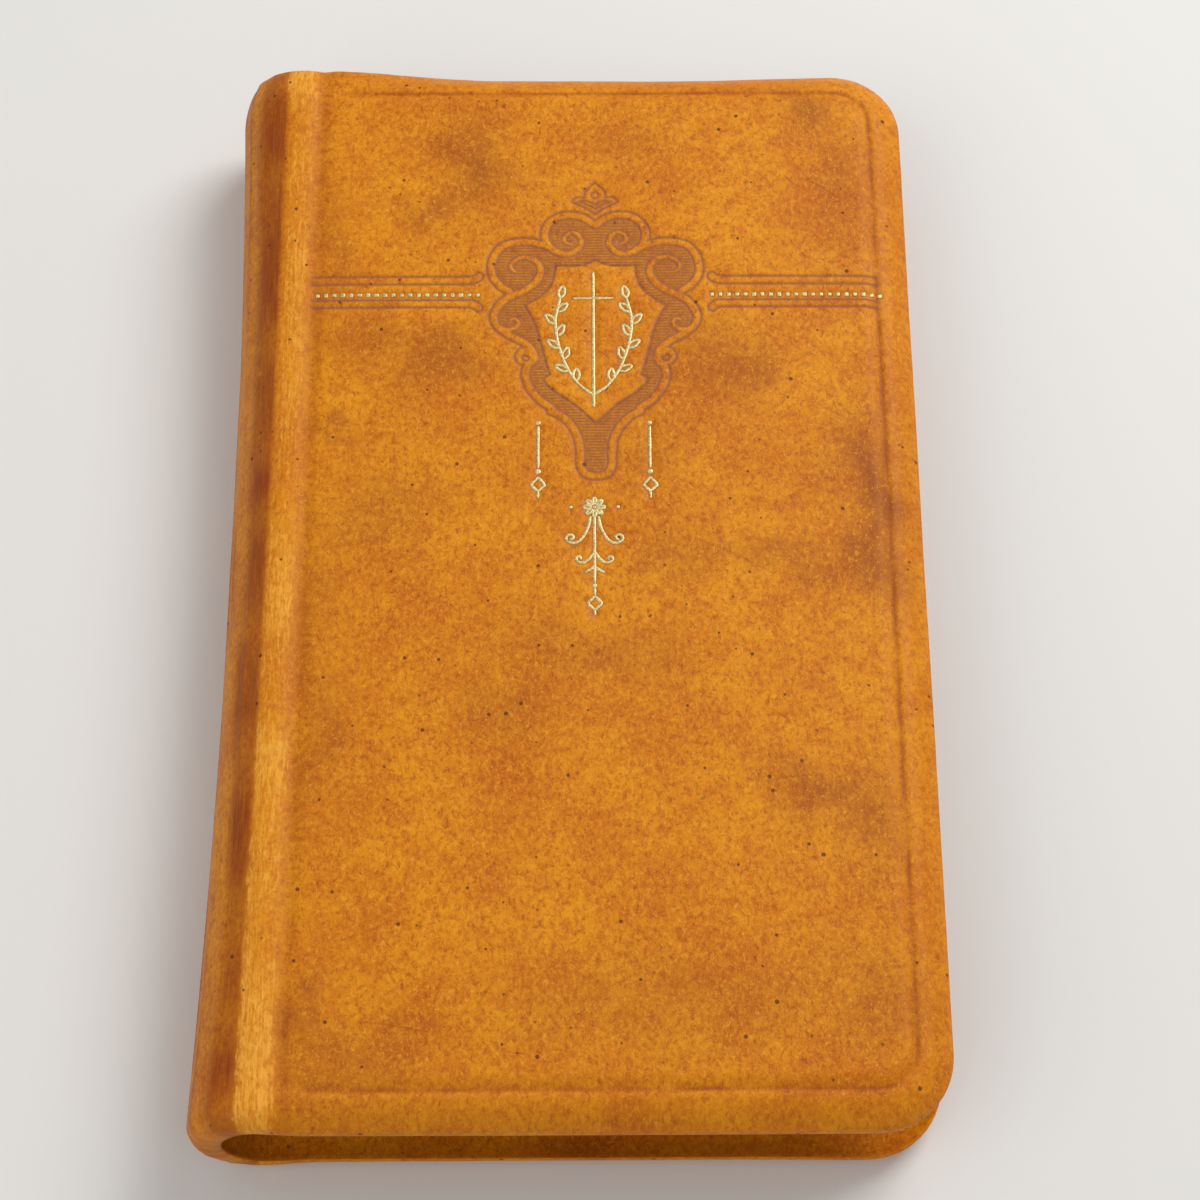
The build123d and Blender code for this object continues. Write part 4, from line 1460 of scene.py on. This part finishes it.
# ---- The pastedowns: paper over the boards and across the inner hinges ----
def close_rows(low, high, fine, coarse, step):
    """Values from low to high: coarse steps, with fine ones near the places in step."""
    values = np.concatenate([np.arange(low, high, coarse), [high]]
                            + [np.arange(place - 1.2, place + 1.2, fine) for place in step])
    values = np.unique(np.round(values[(values >= low) & (values <= high)], 3))
    keep = np.concatenate([[True], np.diff(values) > fine * 0.4])
    keep[-1] = True
    return values[keep]


def sheet_faces(rows, cols, side):
    """Faces of a closed sheet: a grid on each face and a rim between them."""
    index = np.arange(rows * cols).reshape(rows, cols)
    quads = np.column_stack([index[:-1, :-1].ravel(), index[1:, :-1].ravel(),
                             index[1:, 1:].ravel(), index[:-1, 1:].ravel()])
    rim = np.concatenate([index[:-1, 0], index[-1, :-1], index[:0:-1, -1], index[0, :0:-1]])
    far = np.roll(rim, -1)
    total = rows * cols
    edge = np.column_stack([rim + total, far + total, far, rim])
    faces = [tuple(q) for q in quads] + [tuple(q[::-1] + total) for q in quads]
    faces += [tuple(q) for q in edge]
    return [face[::-1] for face in faces] if side < 0 else faces


def pastedown(name, node, side, body, seed):
    """A sheet that follows the hide's inner skin and the step of the turn-in under it."""
    fore, head = FORE_X - LAP_INSET, HALF_HEIGHT - LAP_INSET
    window = (FORE_X - WINDOW_INSET, HALF_HEIGHT - WINDOW_INSET)
    us = close_rows(HINGE_X - 1.4, fore, 0.3, 2.2, (HINGE_X - 0.4, HINGE_X + 1.6, window[0]))
    vs = close_rows(-head, head, 0.3, 2.2, (-window[1], window[1]))
    u, v = [grid.ravel() for grid in np.meshgrid(us, vs, indexing="ij")]
    ripple = 0.02 * drift(u, v, 5, seed + 60)
    skin = inner_offset(u, v, seed) - 0.03 + ripple
    glued = lay_out(u, v, skin, side)
    shown = lay_out(u, v, skin - PASTEDOWN_THICKNESS, side)
    faces = sheet_faces(len(us), len(vs), side)
    place = np.column_stack([u, v, np.full(len(u), 10.0 * side)]) * MM
    sheet = make_mesh(name, np.vstack([glued, shown]), faces, GLUED_PAPER,
                      {"lie": np.vstack([place, place])})
    sheet.data.polygons.foreach_set("use_smooth", [True] * len(faces))
    bend_at_hinge(sheet, body)
    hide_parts(node)


def endpaper_fold(name, side, body):
    """The endpaper's joint, folded shut: one end lies on the flyleaf, the other on the cover's half.
    """
    low = FLYLEAF_TOP + FOLD_THICKNESS / 4
    high = low + FOLD_GAP
    radius = FOLD_GAP / 2
    climb = np.linspace(-1, 1, 29)
    bend = np.column_stack([FOLD_BEND_X - radius * np.sqrt(1 - climb**2), low + radius * (1 + climb)])
    reach = np.linspace(FOLD_LAP, 0.2, 5)
    flat = np.column_stack([FOLD_BEND_X + reach, np.full(5, low)])
    turned = np.column_stack([FOLD_BEND_X + FOLD_SPREAD * reach[::-1], np.full(5, high)])
    path = np.vstack([flat, bend, turned])
    run = np.gradient(path, axis=0)
    across = np.column_stack([-run[:, 1], run[:, 0]]) / np.linalg.norm(run, axis=1)[:, None]
    vs = np.linspace(-HALF_HEIGHT + LAP_INSET, HALF_HEIGHT - LAP_INSET, 60)
    layers = []
    for layer in (path - across * FOLD_THICKNESS / 2, path + across * FOLD_THICKNESS / 2):
        x, v = np.repeat(layer[:, 0], len(vs)), np.tile(vs, len(path))
        z = np.repeat(layer[:, 1], len(vs))
        layers.append(np.column_stack([x, v, MID_Z + side * (z - MID_Z)]))
    along = np.repeat(np.arange(len(path)) * 0.3, len(vs))
    place = np.column_stack([along, np.tile(vs, len(path)), np.full(len(along), 20.0 * side)]) * MM
    fold = make_mesh(name, np.vstack(layers), sheet_faces(len(path), len(vs), -side), GLUED_PAPER,
                     {"lie": np.vstack([place, place])})
    fold.data.polygons.foreach_set("use_smooth", [True] * len(fold.data.polygons))
    bend_outwards(fold, body)


pastedown("front_endpaper", "front_pastedown", 1, "front_cover", FRONT_SEED)
pastedown("back_endpaper", "back_pastedown", -1, "back_cover", BACK_SEED)
endpaper_fold("front_endpaper_fold", 1, "front_cover")
endpaper_fold("back_endpaper_fold", -1, "back_cover")


def finish_node(name, material):
    """The finish of a CAD node that stays as it is."""
    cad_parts[name].data.materials.clear()
    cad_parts[name].data.materials.append(material)


finish_node("front_flyleaf", END_PAPER)
finish_node("back_flyleaf", END_PAPER)
finish_node("front_board", CARD)
finish_node("back_board", CARD)
finish_node("spine_inlay", CARD)
finish_node("mull_lining", MULL)


# ---- Floor, light and camera ----
def make_stage():
    """A plain pale floor that runs far past the view."""
    half = 3000
    floor = make_mesh("floor", [(-half, -half, 0), (half, -half, 0), (half, half, 0),
                                (-half, half, 0)], [(0, 1, 2, 3)])
    material, _, shader = new_material("pale_floor")
    shader.inputs["Base Color"].default_value = colour(226, 224, 220)
    shader.inputs["Roughness"].default_value = 0.9
    floor.data.materials.append(material)


def area_lamp(name, place, target, size, power):
    """A soft square lamp, in millimetres and watts, that faces the target."""
    lamp = bpy.data.lights.new(name, "AREA")
    lamp.shape, lamp.size, lamp.energy = "SQUARE", size * MM, power
    obj = bpy.data.objects.new(name, lamp)
    obj.location = Vector(place) * MM
    obj.rotation_euler = (Vector(target) - Vector(place)).to_track_quat("-Z", "Y").to_euler()
    bpy.context.scene.collection.objects.link(obj)


def make_lights():
    world = bpy.data.worlds.new("studio_air")
    world.use_nodes = True
    world.node_tree.nodes["Background"].inputs["Color"].default_value = (1, 1, 1, 1)
    world.node_tree.nodes["Background"].inputs["Strength"].default_value = 0.42
    bpy.context.scene.world = world
    area_lamp("window_lamp", (400, 420, 620), (0, 0, 0), 460, 5.0)
    area_lamp("fill_lamp", (-420, -300, 560), (0, 0, 0), 600, 1.3)


def make_camera():
    lens = bpy.data.cameras.new("camera")
    lens.lens, lens.sensor_width = 82.8, 36.0
    lens.clip_start, lens.clip_end = 0.01, 20.0
    camera = bpy.data.objects.new("camera", lens)
    camera.location = Vector((1.6, -148.2, 328.3)) * MM
    camera.rotation_euler = [math.radians(a) for a in (24.60, -0.19, -0.31)]
    bpy.context.scene.collection.objects.link(camera)
    bpy.context.scene.camera = camera


make_stage()
make_lights()
make_camera()
bpy.context.scene.view_settings.view_transform = "Standard"
